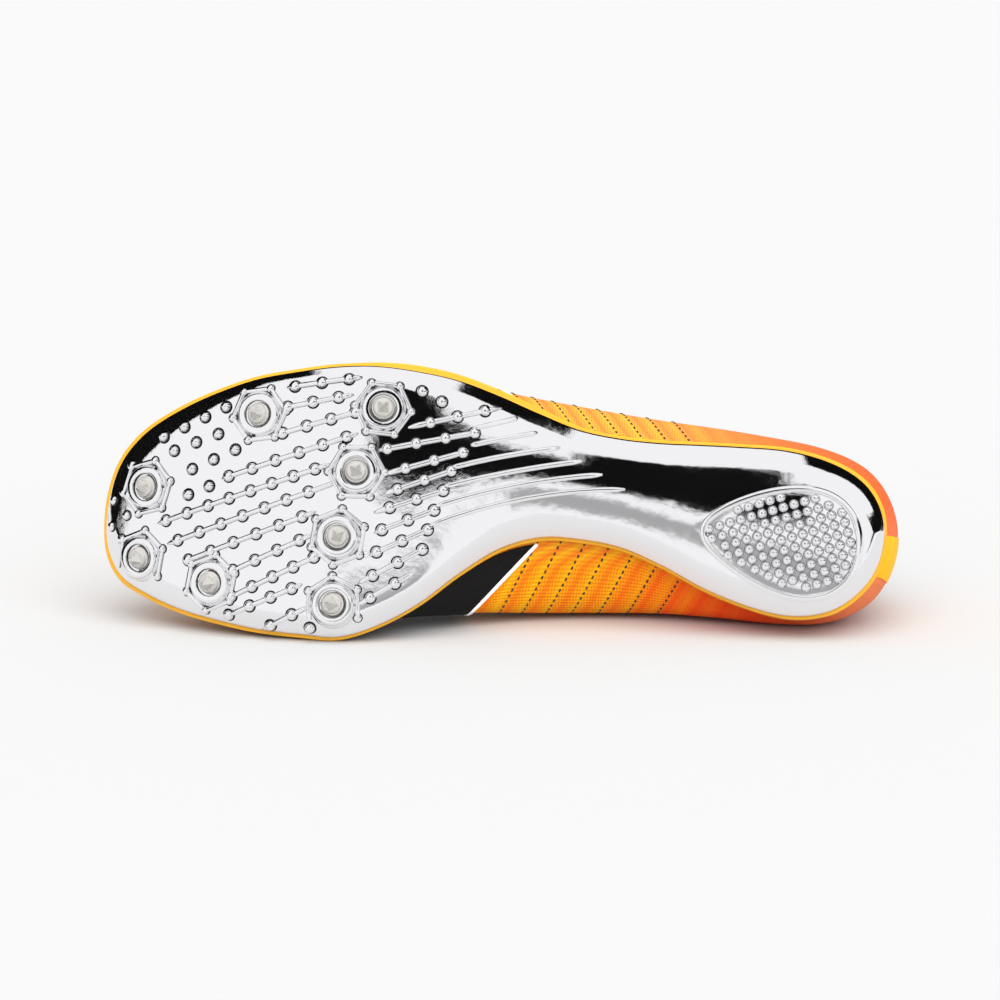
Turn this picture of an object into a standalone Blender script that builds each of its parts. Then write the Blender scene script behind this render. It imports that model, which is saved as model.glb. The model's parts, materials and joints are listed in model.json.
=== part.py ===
"""Left track spike shoe, lying on its inner side with the sole facing -Y.

The shoe is modelled in its own frame: X from the heel to the toe, Y to the outer side, Z from the sole
to the instep, in metres. One empty then lays it down, so that the floor is Z = 0.
"""

import math

import bmesh
import bpy
import numpy as np
from mathutils import Matrix, Vector

# Driving sizes of the shoe
LENGTH = 0.275
BALL_BREADTH = 0.0925
INSTEP_HEIGHT = 0.080
HEEL_HEIGHT = 0.070
TOE_SPRING = 0.030
SHANK_LIFT = 0.0075
HEEL_BEVEL = 0.004

# Walls and clearances
CLEARANCE = 0.0003
PLATE_WALL = 0.0018
MIDSOLE_FRONT = 0.0022
MIDSOLE_HEEL = 0.0055
MIDSOLE_PROUD = 0.0011
MIDSOLE_FLARE = 0.0012
SHEET_PROUD = 0.0025
UPPER_WALL = 0.0016
UPPER_INSET = 0.0016
INSOLE_WALL = 0.0025
INSOLE_INSET = 0.0052
TONGUE_WALL = 0.0028
OVERLAY_WALL = 0.0007
LACE_BREADTH = 0.0060
LACE_WALL = 0.0011
LACE_ARCH = 0.0012

# Where things lie along the shoe, as shares of its length
BALL_STATION = 0.665
SHANK_START = 0.10
HEEL_BEVEL_STATION = 0.13
PLATE_HEEL = 0.0235
PLATE_TOE = 0.9975
THROAT_TOP = 0.385
THROAT_FRONT = 0.665

# The plate's underside
TOE_CURL = 1.85
EDGE_ROLL = 0.0075
EDGE_LIFT = 0.0030
CROWN = 0.0030
CROWN_HALF_BREADTH = 0.025

# Spike wells and spikes
BOSS_RADIUS = 0.0072
BOSS_FACE_RADIUS = 0.0065
BOSS_HEIGHT = 0.0020
WELL_RADIUS = 0.0047
WELL_DEPTH = 0.0024
SPIKE_RADIUS = 0.0034
SPIKE_FOOT_RADIUS = 0.0039
SPIKE_FOOT = 0.0010
SPIKE_HEIGHT = 0.0064

# The heel pad's rim and the shank's ribs
PAD_LENGTH = 0.0556
PAD_BREADTH = 0.0375
PAD_SKEW = 0.36
PAD_TURN = math.radians(9)
PAD_CENTRE = (0.1527, -0.035)
RIM_BREADTH = 0.0024
RIM_HEIGHT = 0.0012
RIB_BREADTH = 0.0018
RIB_HEIGHT = 0.0009

# Eyelets and lace
EYELET_RADIUS = 0.0018
EYELET_ROWS = 6
EYELET_FIRST = 0.405
EYELET_LAST = 0.630
EYELET_EDGE = 0.0065

# Overlays: stations of their ends, how far the panels' back edge runs to the toe as the wall bulges out and
# climbs, and where the heel strip lies in steps of the upper's sections round the heel
EYESTAY_FRONT = 0.045
PANEL_FRONT = 0.80
PANEL_BACK_INNER = 0.447
PANEL_BACK_OUTER = 0.463
PANEL_LEAN_OUT = 0.95
PANEL_LEAN_UP = 0.25
HEEL_STRIP_SPAN = (0.3, 1, 2, 2.6)

# Tongue
TONGUE_FRONT = 0.715
TONGUE_OVERLAP = 0.0110
TONGUE_FREE = 0.0025
TONGUE_TUCK = 0.09
TONGUE_DIP = 0.0015
TONGUE_TOP_LENGTH = 0.020
TONGUE_TOP_TURN = math.radians(38)

# Across the sole: shares of the ball's breadth from the shoe's long axis
OUTLINE_COLUMNS = ("station", "centre", "half_breadth")
OUTLINE = (
    (0.000, 0.002, 0.000),
    (0.027, -0.014, 0.194),
    (0.078, -0.019, 0.283),
    (0.130, -0.003, 0.306),
    (0.181, 0.025, 0.292),
    (0.232, 0.063, 0.265),
    (0.284, 0.111, 0.227),
    (0.335, 0.154, 0.203),
    (0.386, 0.187, 0.204),
    (0.438, 0.223, 0.231),
    (0.489, 0.236, 0.284),
    (0.540, 0.219, 0.356),
    (0.592, 0.180, 0.428),
    (0.643, 0.151, 0.477),
    (0.694, 0.129, 0.499),
    (0.746, 0.127, 0.485),
    (0.797, 0.126, 0.464),
    (0.848, 0.122, 0.425),
    (0.900, 0.115, 0.371),
    (0.951, 0.106, 0.290),
    (0.977, 0.089, 0.221),
    (1.000, 0.045, 0.000),
)

# Sections of the last: side bulges and ridge as shares of the ball's breadth, bulge height and flare from
# the sole's edge in metres and degrees, and how far the section has turned level at its top, from 0 to 1
SECTION_COLUMNS = (
    "station", "inner_bulge", "outer_bulge", "bulge_height",
    "inner_flare", "outer_flare", "ridge", "level",
)
SECTIONS = (
    (0.000, 0.000, 0.000, 0.0240, 25, 25, 0.000, 0.05),
    (0.040, -0.266, 0.245, 0.0240, 22, 22, 0.006, 0.05),
    (0.100, -0.334, 0.326, 0.0240, 20, 18, 0.016, 0.08),
    (0.160, -0.330, 0.366, 0.0240, 22, 20, 0.030, 0.12),
    (0.220, -0.308, 0.402, 0.0260, 34, 30, 0.050, 0.24),
    (0.300, -0.284, 0.446, 0.0300, 56, 44, 0.078, 0.52),
    (0.380, -0.278, 0.492, 0.0320, 66, 50, 0.098, 0.80),
    (0.450, -0.277, 0.530, 0.0310, 64, 48, 0.108, 0.90),
    (0.520, -0.276, 0.568, 0.0260, 52, 36, 0.108, 0.95),
    (0.600, -0.286, 0.606, 0.0190, 26, 16, 0.098, 0.98),
    (0.680, -0.304, 0.612, 0.0150, 6, 4, 0.082, 1.00),
    (0.760, -0.308, 0.592, 0.0160, 4, 4, 0.070, 1.00),
    (0.840, -0.284, 0.526, 0.0200, 4, 4, 0.062, 1.00),
    (0.900, -0.236, 0.458, 0.0240, 4, 4, 0.060, 1.00),
    (0.950, -0.172, 0.362, 0.0290, 4, 4, 0.060, 1.00),
    (0.985, -0.066, 0.215, 0.0330, 4, 4, 0.056, 1.00),
    (1.000, 0.046, 0.046, 0.0345, 4, 4, 0.046, 1.00),
)
BULGE_RISE = 0.36
ROUNDNESS = 0.56

# Height of the section's top, as shares of the heel's and of the instep's height. The top's half breadth is
# the collar's, and runs out over the throat, where the opening is cut in the closed section.
TOPLINE_COLUMNS = ("station", "heel_share", "instep_share", "half_top", "half_opening")
TOPLINE = (
    (0.000, 1.000, 0.000, 0.0000, 0.0000),
    (0.040, 0.985, 0.000, 0.0152, 0.0152),
    (0.100, 0.890, 0.000, 0.0226, 0.0226),
    (0.160, 0.820, 0.000, 0.0252, 0.0252),
    (0.220, 0.640, 0.165, 0.0256, 0.0256),
    (0.290, 0.300, 0.535, 0.0234, 0.0234),
    (0.340, 0.070, 0.870, 0.0190, 0.0200),
    (0.385, 0.000, 1.000, 0.0120, 0.0165),
    (0.450, 0.000, 0.955, 0.0050, 0.0132),
    (0.520, 0.000, 0.870, 0.0000, 0.0112),
    (0.600, 0.000, 0.770, 0.0000, 0.0092),
    (0.665, 0.000, 0.695, 0.0000, 0.0080),
    (0.740, 0.000, 0.640, 0.0000, 0.0000),
    (0.820, 0.000, 0.612, 0.0000, 0.0000),
    (0.880, 0.000, 0.596, 0.0000, 0.0000),
    (0.940, 0.000, 0.568, 0.0000, 0.0000),
    (0.975, 0.000, 0.528, 0.0000, 0.0000),
    (1.000, 0.000, 0.474, 0.0000, 0.0000),
)
THROAT_END_LENGTH = 0.030
HEEL_TOP_FORWARD = 0.0060
HEEL_CURVE_REACH = 0.30

# Spike wells: place along the shoe, place across it as a share of the ball's breadth, and the pin's lean to
# the toe and to the outer side, in degrees from the well's axis
SPIKE_COLUMNS = ("name", "station", "share", "lean_toe", "lean_outer")
SPIKES = (
    ("spike_1", 0.9420, 0.202, 3, -4),
    ("spike_2", 0.9515, -0.060, 3, -9),
    ("spike_3", 0.8605, -0.161, 0, -9),
    ("spike_4", 0.7970, 0.455, 8, 2),
    ("spike_5", 0.7070, -0.252, 6, 7),
    ("spike_6", 0.7005, -0.005, -5, 8),
    ("spike_7", 0.6765, 0.234, -1, 9),
    ("spike_8", 0.6430, 0.466, -3, 9),
)
PIN_MOST_LEAN = math.radians(10)
PIN_SEAT = BOSS_HEIGHT - WELL_DEPTH + CLEARANCE + SPIKE_FOOT_RADIUS * math.sin(PIN_MOST_LEAN)

# Ribs from the tread to the shank: start, middle and end, each as (station, share of the ball's breadth)
RIBS = (
    ((0.533, 0.390), (0.503, 0.412), (0.476, 0.431)),
    ((0.535, 0.330), (0.493, 0.355), (0.452, 0.377)),
    ((0.560, 0.246), (0.493, 0.290), (0.424, 0.320)),
    ((0.570, 0.176), (0.484, 0.232), (0.397, 0.270)),
    ((0.580, 0.104), (0.477, 0.182), (0.372, 0.219)),
    ((0.588, 0.032), (0.467, 0.134), (0.344, 0.163)),
)

# Colours (linear) and finishes of the materials
FINISHES = {
    "chrome_plating": ((0.86, 0.86, 0.87), 0.05, 1.0),
    "yellow_foam": ((0.90, 0.50, 0.01), 0.45, 0.0),
    "orange_weave": ((0.95, 0.24, 0.01), 0.75, 0.0),
    "black_film": ((0.012, 0.012, 0.013), 0.45, 0.0),
    "black_textile": ((0.02, 0.02, 0.022), 0.85, 0.0),
    "yellow_film": ((0.92, 0.52, 0.01), 0.40, 0.0),
    "frosted_plastic": ((0.62, 0.61, 0.59), 0.30, 0.0),
}


def angle_of(station):
    """Angle whose cosine spaces the stations, so that they crowd towards the heel and the toe."""
    return math.acos(1 - 2 * min(max(station, 0.0), 1.0))


def station_of(angle):
    return (1 - math.cos(angle)) / 2


def smooth_column(columns, rows, name):
    """A smooth function of the station through one column of a table."""
    at = np.array([angle_of(row[0]) for row in rows])
    value = np.array([row[columns.index(name)] for row in rows], float)
    step = np.diff(at)
    rise = np.diff(value) / step
    middle = (step[1:] * rise[:-1] + step[:-1] * rise[1:]) / (step[1:] + step[:-1])
    slope = np.concatenate([[rise[0]], middle, [rise[-1]]])

    def read(station):
        angle = angle_of(station)
        i = int(min(max(np.searchsorted(at, angle) - 1, 0), len(step) - 1))
        t = (angle - at[i]) / step[i]
        bend = (1 - t) * slope[i] - t * slope[i + 1] - (1 - 2 * t) * rise[i]
        return float((1 - t) * value[i] + t * value[i + 1] + t * (1 - t) * step[i] * bend)

    return read


sole_centre, sole_half = (smooth_column(OUTLINE_COLUMNS, OUTLINE, name) for name in OUTLINE_COLUMNS[1:])
SECTION = {name: smooth_column(SECTION_COLUMNS, SECTIONS, name) for name in SECTION_COLUMNS[1:]}
TOP = {name: smooth_column(TOPLINE_COLUMNS, TOPLINE, name) for name in TOPLINE_COLUMNS[1:]}


def clamp(value, low=0.0, high=1.0):
    return min(max(value, low), high)


def ease(value):
    """0 to 1 with no corner at either end."""
    t = clamp(value)
    return t * t * (3 - 2 * t)


# The sole's shape

def bottom_line(x):
    """Height of the plate's underside along its middle: bevelled heel, raised shank, ball, and toe spring."""
    share = x / LENGTH
    toe = max(0.0, share - BALL_STATION) / (1 - BALL_STATION)
    heel = max(0.0, HEEL_BEVEL_STATION - share) / HEEL_BEVEL_STATION
    shank = clamp((share - SHANK_START) / (BALL_STATION - SHANK_START))
    return TOE_SPRING * toe**TOE_CURL + HEEL_BEVEL * heel**2 + SHANK_LIFT * math.sin(math.pi * shank) ** 2


def sole_x(station, proud=0.0):
    """Place along the shoe of a station of the sole, whose ends stand proud of the plate's."""
    heel, toe = PLATE_HEEL * LENGTH - proud, PLATE_TOE * LENGTH + proud
    return heel + (toe - heel) * station


def sole_edges(station, proud=0.0):
    """Inner and outer edge of the sole across the shoe."""
    centre = sole_centre(station) * BALL_BREADTH
    half = sole_half(station) * BALL_BREADTH
    half += proud * min(1.0, half / (4 * abs(proud))) if proud else 0.0
    return centre - half, centre + half


def sole_station(x):
    return clamp((x / LENGTH - PLATE_HEEL) / (PLATE_TOE - PLATE_HEEL))


def crown_at(x):
    """How far the plate's sides rise over its middle: most at the shank."""
    share = x / LENGTH
    return CROWN * (0.35 + 0.65 * ease((0.62 - share) / 0.16) * ease((share - 0.02) / 0.16))


def underside_height(x, y):
    """Height of the plate's underside at any place."""
    station = sole_station(x)
    inner, outer = sole_edges(station)
    half = max((outer - inner) / 2, 1e-6)
    across = clamp((y - (inner + outer) / 2) / half, -1.0, 1.0)
    before, after = max(station - 0.004, 0.0), min(station + 0.004, 1.0)
    slant = (sole_half(after) - sole_half(before)) * BALL_BREADTH / ((after - before) * LENGTH)
    to_edge = half * (1 - abs(across)) / math.hypot(1, slant)
    roll = max(0.0, 1 - to_edge / EDGE_ROLL)
    crown = crown_at(x) * across**2 * clamp(half / CROWN_HALF_BREADTH)
    return bottom_line(x) + crown + EDGE_LIFT * roll**2


def underside_normal(x, y):
    """Unit vector out of the sole, towards the ground."""
    reach = 0.0015
    along = (underside_height(x + reach, y) - underside_height(x - reach, y)) / (2 * reach)
    across = (underside_height(x, y + reach) - underside_height(x, y - reach)) / (2 * reach)
    return Vector((along, across, -1)).normalized()


def midsole_wall(x):
    return MIDSOLE_FRONT + (MIDSOLE_HEEL - MIDSOLE_FRONT) * ease((0.62 - x / LENGTH) / 0.40)


def midsole_top(x, y):
    return underside_height(x, y) + PLATE_WALL + CLEARANCE + midsole_wall(x)


def midsole_flare(station):
    """How much further the midsole stands out on the outer side of the waist."""
    return MIDSOLE_FLARE * ease((station - 0.36) / 0.10) * ease((0.68 - station) / 0.10)


def no_flare(station):
    return 0.0


# The last's shape: side is -1 on the inner side and 1 on the outer, and rise runs from the sole's edge up

def half_opening(station):
    """Half the breadth of the collar's and the throat's opening, with a round front end."""
    if station >= THROAT_FRONT:
        return 0.0
    end = (station - (THROAT_FRONT - THROAT_END_LENGTH)) / THROAT_END_LENGTH
    return TOP["half_opening"](station) * math.sqrt(1 - clamp(end) ** 2)


def last_section(station, side):
    """One side's section: its foot, bulge and top, each as (across, height), and how far up its edge lies."""
    key = (round(station, 9), side)
    if key in FOUND_SECTIONS:
        return FOUND_SECTIONS[key]
    x = sole_x(station, MIDSOLE_PROUD - UPPER_INSET)
    inner, outer = sole_edges(station, MIDSOLE_PROUD - UPPER_INSET)
    foot = outer if side > 0 else inner
    bulge = SECTION["outer_bulge" if side > 0 else "inner_bulge"](station) * BALL_BREADTH
    ridge = SECTION["ridge"](station) * BALL_BREADTH
    top = TOP["heel_share"](station) * HEEL_HEIGHT + TOP["instep_share"](station) * INSTEP_HEIGHT
    foot_height = midsole_top(x, foot) + 2 * CLEARANCE
    toe_drop = 0.8 * bottom_line(x) * ease((station - 0.7) / 0.3)
    bulge_height = max(bottom_line(x) + SECTION["bulge_height"](station) - toe_drop, foot_height + 0.0015)
    half_top = max(TOP["half_top"](station), 0.0)
    top_across = ridge + side * half_top
    level = SECTION["level"](station)
    low, high = 0.0, 1.0
    opening = max(half_opening(station), half_top)
    if opening > half_top:
        for _ in range(30):
            middle = (low + high) / 2
            near_top = top_across + (bulge - top_across) * ROUNDNESS * level
            across = bezier(bulge, bulge, near_top, top_across, middle)
            low, high = (middle, high) if abs(across - ridge) > opening else (low, middle)
    found = (foot, foot_height), (bulge, bulge_height), (top_across, top), high
    FOUND_SECTIONS[key] = found
    return found


def bezier(a, b, c, d, t):
    s = 1 - t
    return s**3 * a + 3 * s * s * t * b + 3 * s * t * t * c + t**3 * d


FOUND_SECTIONS = {}


def last_point(angle, side, rise):
    """A point of the shoe's outer form. Past the heel, toe or ridge, it goes on down the other side."""
    if angle < 0 or angle > math.pi:
        angle, side = (-angle if angle < 0 else 2 * math.pi - angle), -side
    station = station_of(angle)
    if rise > 1 and station >= THROAT_FRONT:
        rise, side = 2 - rise, -side
    foot, bulge, top, edge = last_section(station, side)
    flare = math.radians(SECTION["outer_flare" if side > 0 else "inner_flare"](station))
    level = SECTION["level"](station)
    if rise < BULGE_RISE:
        t = rise / BULGE_RISE
        climb = bulge[1] - foot[1]
        spread = bulge[0] - foot[0]
        start = (foot[0] + spread * 0.55 * math.sin(flare), foot[1] + climb * 0.55 * math.cos(flare))
        y = bezier(foot[0], start[0], bulge[0], bulge[0], t)
        z = bezier(foot[1], start[1], bulge[1] - climb * 0.45, bulge[1], t)
    else:
        t = (rise - BULGE_RISE) / (1 - BULGE_RISE)
        t -= (1 - edge) * t**3
        climb = top[1] - bulge[1]
        near_top = top[0] + (bulge[0] - top[0]) * ROUNDNESS * level
        y = bezier(bulge[0], bulge[0], near_top, top[0], t)
        upright = climb * ROUNDNESS * (1 - level)
        z = bezier(bulge[1], bulge[1] + climb * ROUNDNESS, top[1] - upright, top[1], t)
    foot_x = sole_x(station, MIDSOLE_PROUD - UPPER_INSET)
    bulge_x = (LENGTH - 0.0005) * station
    below = clamp((bulge[1] - z) / max(bulge[1] - foot[1], 1e-6))
    above = clamp((z - bulge[1]) / (HEEL_HEIGHT - bulge[1]))
    forward = HEEL_TOP_FORWARD * above**1.6 * ease(1 - station / HEEL_CURVE_REACH)
    return Vector((bulge_x + (foot_x - bulge_x) * below**2 + forward, y, z))


def last_normal(angle, side, rise):
    """Unit vector out of the shoe at a point of its outer form."""
    d_angle, d_rise = 0.012, 0.012
    top = 1.0 + (d_rise if station_of(angle) >= THROAT_FRONT else 0.0)
    along = last_point(angle + d_angle, side, rise) - last_point(angle - d_angle, side, rise)
    up = last_point(angle, side, min(rise + d_rise, top)) - last_point(angle, side, max(rise - d_rise, 0.0))
    return (up.cross(along) * side).normalized()


def wall_point(angle, side, rise, out):
    """A point that far outside the shoe's outer form, or inside it when out is negative."""
    return last_point(angle, side, rise) + last_normal(angle, side, rise) * out


# Meshes

def new_object(name, mesh, finish, smooth=True):
    obj = bpy.data.objects.new(name, mesh)
    bpy.context.scene.collection.objects.link(obj)
    mesh.materials.append(material(finish))
    if smooth:
        mesh.shade_smooth()
        mesh.set_sharp_from_angle(angle=math.radians(40))
    obj.parent = bpy.data.objects["shoe"]
    return obj


def material(name):
    found = bpy.data.materials.get(name)
    if found:
        return found
    colour, roughness, metallic = FINISHES[name]
    made = bpy.data.materials.new(name)
    made.use_nodes = True
    shader = made.node_tree.nodes["Principled BSDF"]
    shader.inputs["Base Color"].default_value = (*colour, 1)
    shader.inputs["Roughness"].default_value = roughness
    shader.inputs["Metallic"].default_value = metallic
    return made


def closed_shell(name, lower, upper, quads):
    """A closed mesh between two surfaces with the same quads: upper faces out, and lower is turned."""
    count = len(upper)
    faces = [tuple(q) for q in quads] + [tuple(i + count for i in reversed(q)) for q in quads]
    ways = {}
    for quad in quads:
        for a, b in zip(quad, quad[1:] + quad[:1]):
            ways[(a, b)] = True
    for a, b in ways:
        if (b, a) not in ways:
            faces.append((b, a, a + count, b + count))
    mesh = bpy.data.meshes.new(name)
    mesh.from_pydata([*upper, *lower], [], faces)
    form = bmesh.new()
    form.from_mesh(mesh)
    bmesh.ops.remove_doubles(form, verts=form.verts, dist=1e-7)
    bmesh.ops.triangulate(form, faces=form.faces)
    bmesh.ops.recalc_face_normals(form, faces=form.faces)
    form.to_mesh(mesh)
    form.free()
    return mesh


def sole_sheet(name, finish, proud, low, high, stations, lanes, flare):
    """A solid sheet in the sole's outline, between two heights that are functions of the place."""
    below, above, quads, index = [], [], [], {}
    for i, station in enumerate(stations):
        x = sole_x(station, proud)
        inner, outer = sole_edges(station, proud)
        outer += flare(station)
        for j, lane in enumerate(lanes):
            key = (i, 0 if station in (0.0, 1.0) else j)
            if key not in index:
                index[key] = len(above)
                y = inner + (outer - inner) * (1 + lane) / 2
                below.append(Vector((x, y, low(x, y))))
                above.append(Vector((x, y, high(x, y))))
    for i in range(len(stations) - 1):
        for j in range(len(lanes) - 1):
            corners = [index[(a, 0 if stations[a] in (0.0, 1.0) else b)]
                       for a, b in ((i, j), (i + 1, j), (i + 1, j + 1), (i, j + 1))]
            quads.append(list(dict.fromkeys(corners)))
    return new_object(name, closed_shell(name, below, above, quads), finish)


def skin_patch(name, finish, angles, rises, inside, outside, sides=(-1, 1)):
    """A solid between two offsets of the shoe's outer form. rises(station) lists the heights of its rows."""
    low, high, quads, index = [], [], [], {}
    rows = [rises(station_of(angle)) for angle in angles]

    def point_index(i, side, j):
        station = station_of(angles[i])
        at_end = station < 1e-9 or station > 1 - 1e-9
        on_ridge = station >= THROAT_FRONT - 1e-9 and rows[i][j] > 1 - 1e-9
        key = (i, 0 if at_end or on_ridge else side, j)
        if key not in index:
            index[key] = len(high)
            high.append(wall_point(angles[i], side, rows[i][j], outside))
            low.append(wall_point(angles[i], side, rows[i][j], inside))
        return index[key]

    for i in range(len(angles) - 1):
        for j in range(len(rows[i]) - 1):
            for side in sides:
                around = ((i, j), (i + 1, j), (i + 1, j + 1), (i, j + 1))
                corners = [point_index(a, side, b) for a, b in around]
                quads.append(corners if side > 0 else corners[::-1])
    return new_object(name, closed_shell(name, low, high, quads), finish)


def boolean(obj, other, operation):
    modifier = obj.modifiers.new(f"{operation.lower()}_{other.name}", "BOOLEAN")
    modifier.operation = operation
    modifier.object = other
    other.hide_render = True
    other.display_type = "WIRE"


def aligned(direction, spot):
    """Places a form whose +Z is to point along direction, at spot."""
    return Matrix.Translation(spot) @ direction.to_track_quat("Z", "X").to_matrix().to_4x4()


def ring_of(form, radius, height, sides):
    """A ring of corners about Z."""
    turns = [2 * math.pi * k / sides for k in range(sides)]
    return [form.verts.new((radius * math.cos(turn), radius * math.sin(turn), height)) for turn in turns]


def join_rings(form, lower, upper):
    sides = len(lower)
    for k in range(sides):
        form.faces.new((lower[k], lower[(k + 1) % sides], upper[(k + 1) % sides], upper[k]))


def turned_mesh(name, profile, sides):
    """A solid of revolution about Z through (radius, height) pairs, from its low end to its high one."""
    form = bmesh.new()
    rings = [ring_of(form, radius, height, sides) for radius, height in profile]
    for lower, upper in zip(rings, rings[1:]):
        join_rings(form, lower, upper)
    form.faces.new(rings[0][::-1])
    form.faces.new(rings[-1])
    mesh = bpy.data.meshes.new(name)
    form.to_mesh(mesh)
    form.free()
    return mesh


def swept_mesh(name, path, ups, breadth, wall, ends_round=False):
    """A flat bar along a path: each ring is a rectangle set by the path's direction and its up vector."""
    form = bmesh.new()
    rings = []
    for k, (spot, up) in enumerate(zip(path, ups)):
        ahead = (path[min(k + 1, len(path) - 1)] - path[max(k - 1, 0)]).normalized()
        across = ahead.cross(up).normalized()
        half = breadth / 2 * (0.45 if ends_round and k in (0, len(path) - 1) else 1.0)
        rings.append([form.verts.new(spot + across * (side * half) + up * lift)
                      for side, lift in ((-1, 0.0), (1, 0.0), (1, wall), (-1, wall))])
    for first, second in zip(rings, rings[1:]):
        join_rings(form, first, second)
    form.faces.new(rings[0][::-1])
    form.faces.new(rings[-1])
    bmesh.ops.recalc_face_normals(form, faces=form.faces)
    mesh = bpy.data.meshes.new(name)
    form.to_mesh(mesh)
    form.free()
    return mesh


# Pieces of the sole

SOLE_STATIONS = [station_of(math.pi * k / 28) for k in range(29)]
SOLE_STATIONS[0], SOLE_STATIONS[-1] = 0.0, 1.0
SOLE_LANES = [-1.0, -0.88, -0.66, -0.25, 0.25, 0.66, 0.88, 1.0]


def sole_layer(name, finish, proud, low, high, flare=no_flare):
    """A layer of the sole: cut by its own outline from a sheet that all layers share."""
    layer = sole_sheet(name, finish, SHEET_PROUD, low, high, SOLE_STATIONS, SOLE_LANES, no_flare)
    outline = sole_sheet(
        f"{name}_outline", finish, proud, lambda x, y: -LENGTH, lambda x, y: LENGTH,
        SOLE_STATIONS, SOLE_LANES[::7], flare,
    )
    boolean(layer, outline, "INTERSECT")
    return layer


def helper(name, mesh):
    """An object that only cuts or joins another."""
    obj = bpy.data.objects.new(name, mesh)
    bpy.context.scene.collection.objects.link(obj)
    obj.parent = bpy.data.objects["shoe"]
    return obj


def sole_spot(station, share):
    """A place on the plate's underside from its station and its share of the ball's breadth."""
    x, y = station * LENGTH, share * BALL_BREADTH
    return Vector((x, y, underside_height(x, y)))


def spike_places():
    """(name, the well's placing, the pin's placing) of each spike."""
    for name, station, share, lean_toe, lean_outer in SPIKES:
        spot = sole_spot(station, share)
        out = underside_normal(spot.x, spot.y)
        lean = Vector((math.tan(math.radians(lean_toe)), math.tan(math.radians(lean_outer)), 0.0))
        yield name, aligned(out, spot), aligned((out + lean).normalized(), spot + out * PIN_SEAT)


def make_plate():
    """The sprint plate: a thin dished sheet with eight spike wells, six ribs and the heel pad's rim."""
    plate = sole_layer(
        "spike_plate", "chrome_plating", 0.0,
        underside_height, lambda x, y: underside_height(x, y) + PLATE_WALL,
    )
    shoulder = BOSS_HEIGHT * 0.4
    flank = (BOSS_RADIUS, -PLATE_WALL * 0.7), (BOSS_RADIUS, shoulder), (BOSS_FACE_RADIUS, BOSS_HEIGHT)
    bore = (WELL_RADIUS, BOSS_HEIGHT - WELL_DEPTH), (WELL_RADIUS, 2 * BOSS_HEIGHT)
    for name, place, _ in spike_places():
        boss = helper(f"{name}_boss", turned_mesh("boss", flank, 16))
        well = helper(f"{name}_well", turned_mesh("well", bore, 16))
        boss.matrix_local = well.matrix_local = place
        boolean(plate, boss, "UNION")
        boolean(plate, well, "DIFFERENCE")
    for number, rib in enumerate(RIBS, 1):
        boolean(plate, make_rib(number, rib), "UNION")
    boolean(plate, make_pad_rim(), "UNION")
    return plate


def make_rib(number, rib):
    """One rib from the tread to the shank, through its start, middle and end."""
    start, middle, end = (Vector(point) for point in rib)
    path, ups = [], []
    steps = 7
    for k in range(steps + 1):
        t = k / steps
        flat = start * (1 - t) * (1 - 2 * t) + middle * 4 * t * (1 - t) + end * t * (2 * t - 1)
        spot = sole_spot(*flat)
        out = underside_normal(spot.x, spot.y)
        path.append(spot - out * (PLATE_WALL * 0.5))
        ups.append(out)
    bar = swept_mesh("rib", path, ups, RIB_BREADTH, PLATE_WALL * 0.5 + RIB_HEIGHT, ends_round=True)
    return helper(f"rib_{number}", bar)


def pad_point(turn, inset=0.0):
    """A point of the heel pad's egg-shaped outline, in the plane of the sole."""
    along = -math.cos(turn) * (PAD_LENGTH / 2 - inset)
    across = math.sin(turn) * (1 - PAD_SKEW * math.cos(turn)) * (PAD_BREADTH / 2 - inset)
    heelward = Vector((-math.cos(PAD_TURN), -math.sin(PAD_TURN)))
    outward = Vector((-math.sin(PAD_TURN), math.cos(PAD_TURN)))
    centre = Vector((PAD_CENTRE[0] * LENGTH, PAD_CENTRE[1] * BALL_BREADTH))
    return centre + heelward * along + outward * across


def make_pad_rim():
    """The raised rim round the heel pad, as a closed ring of rectangles."""
    steps = 30
    sunk = -0.5 * PLATE_WALL
    section = (0.0, sunk), (0.0, RIM_HEIGHT), (RIM_BREADTH, RIM_HEIGHT), (RIM_BREADTH, sunk)
    form = bmesh.new()
    rings = []
    for k in range(steps):
        ring = []
        for inset, lift in section:
            flat = pad_point(2 * math.pi * k / steps, inset)
            spot = Vector((*flat, underside_height(*flat)))
            ring.append(form.verts.new(spot + underside_normal(*flat) * lift))
        rings.append(ring)
    for k, first in enumerate(rings):
        join_rings(form, first, rings[(k + 1) % steps])
    bmesh.ops.recalc_face_normals(form, faces=form.faces)
    mesh = bpy.data.meshes.new("pad_rim")
    form.to_mesh(mesh)
    form.free()
    return helper("pad_rim", mesh)


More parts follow.
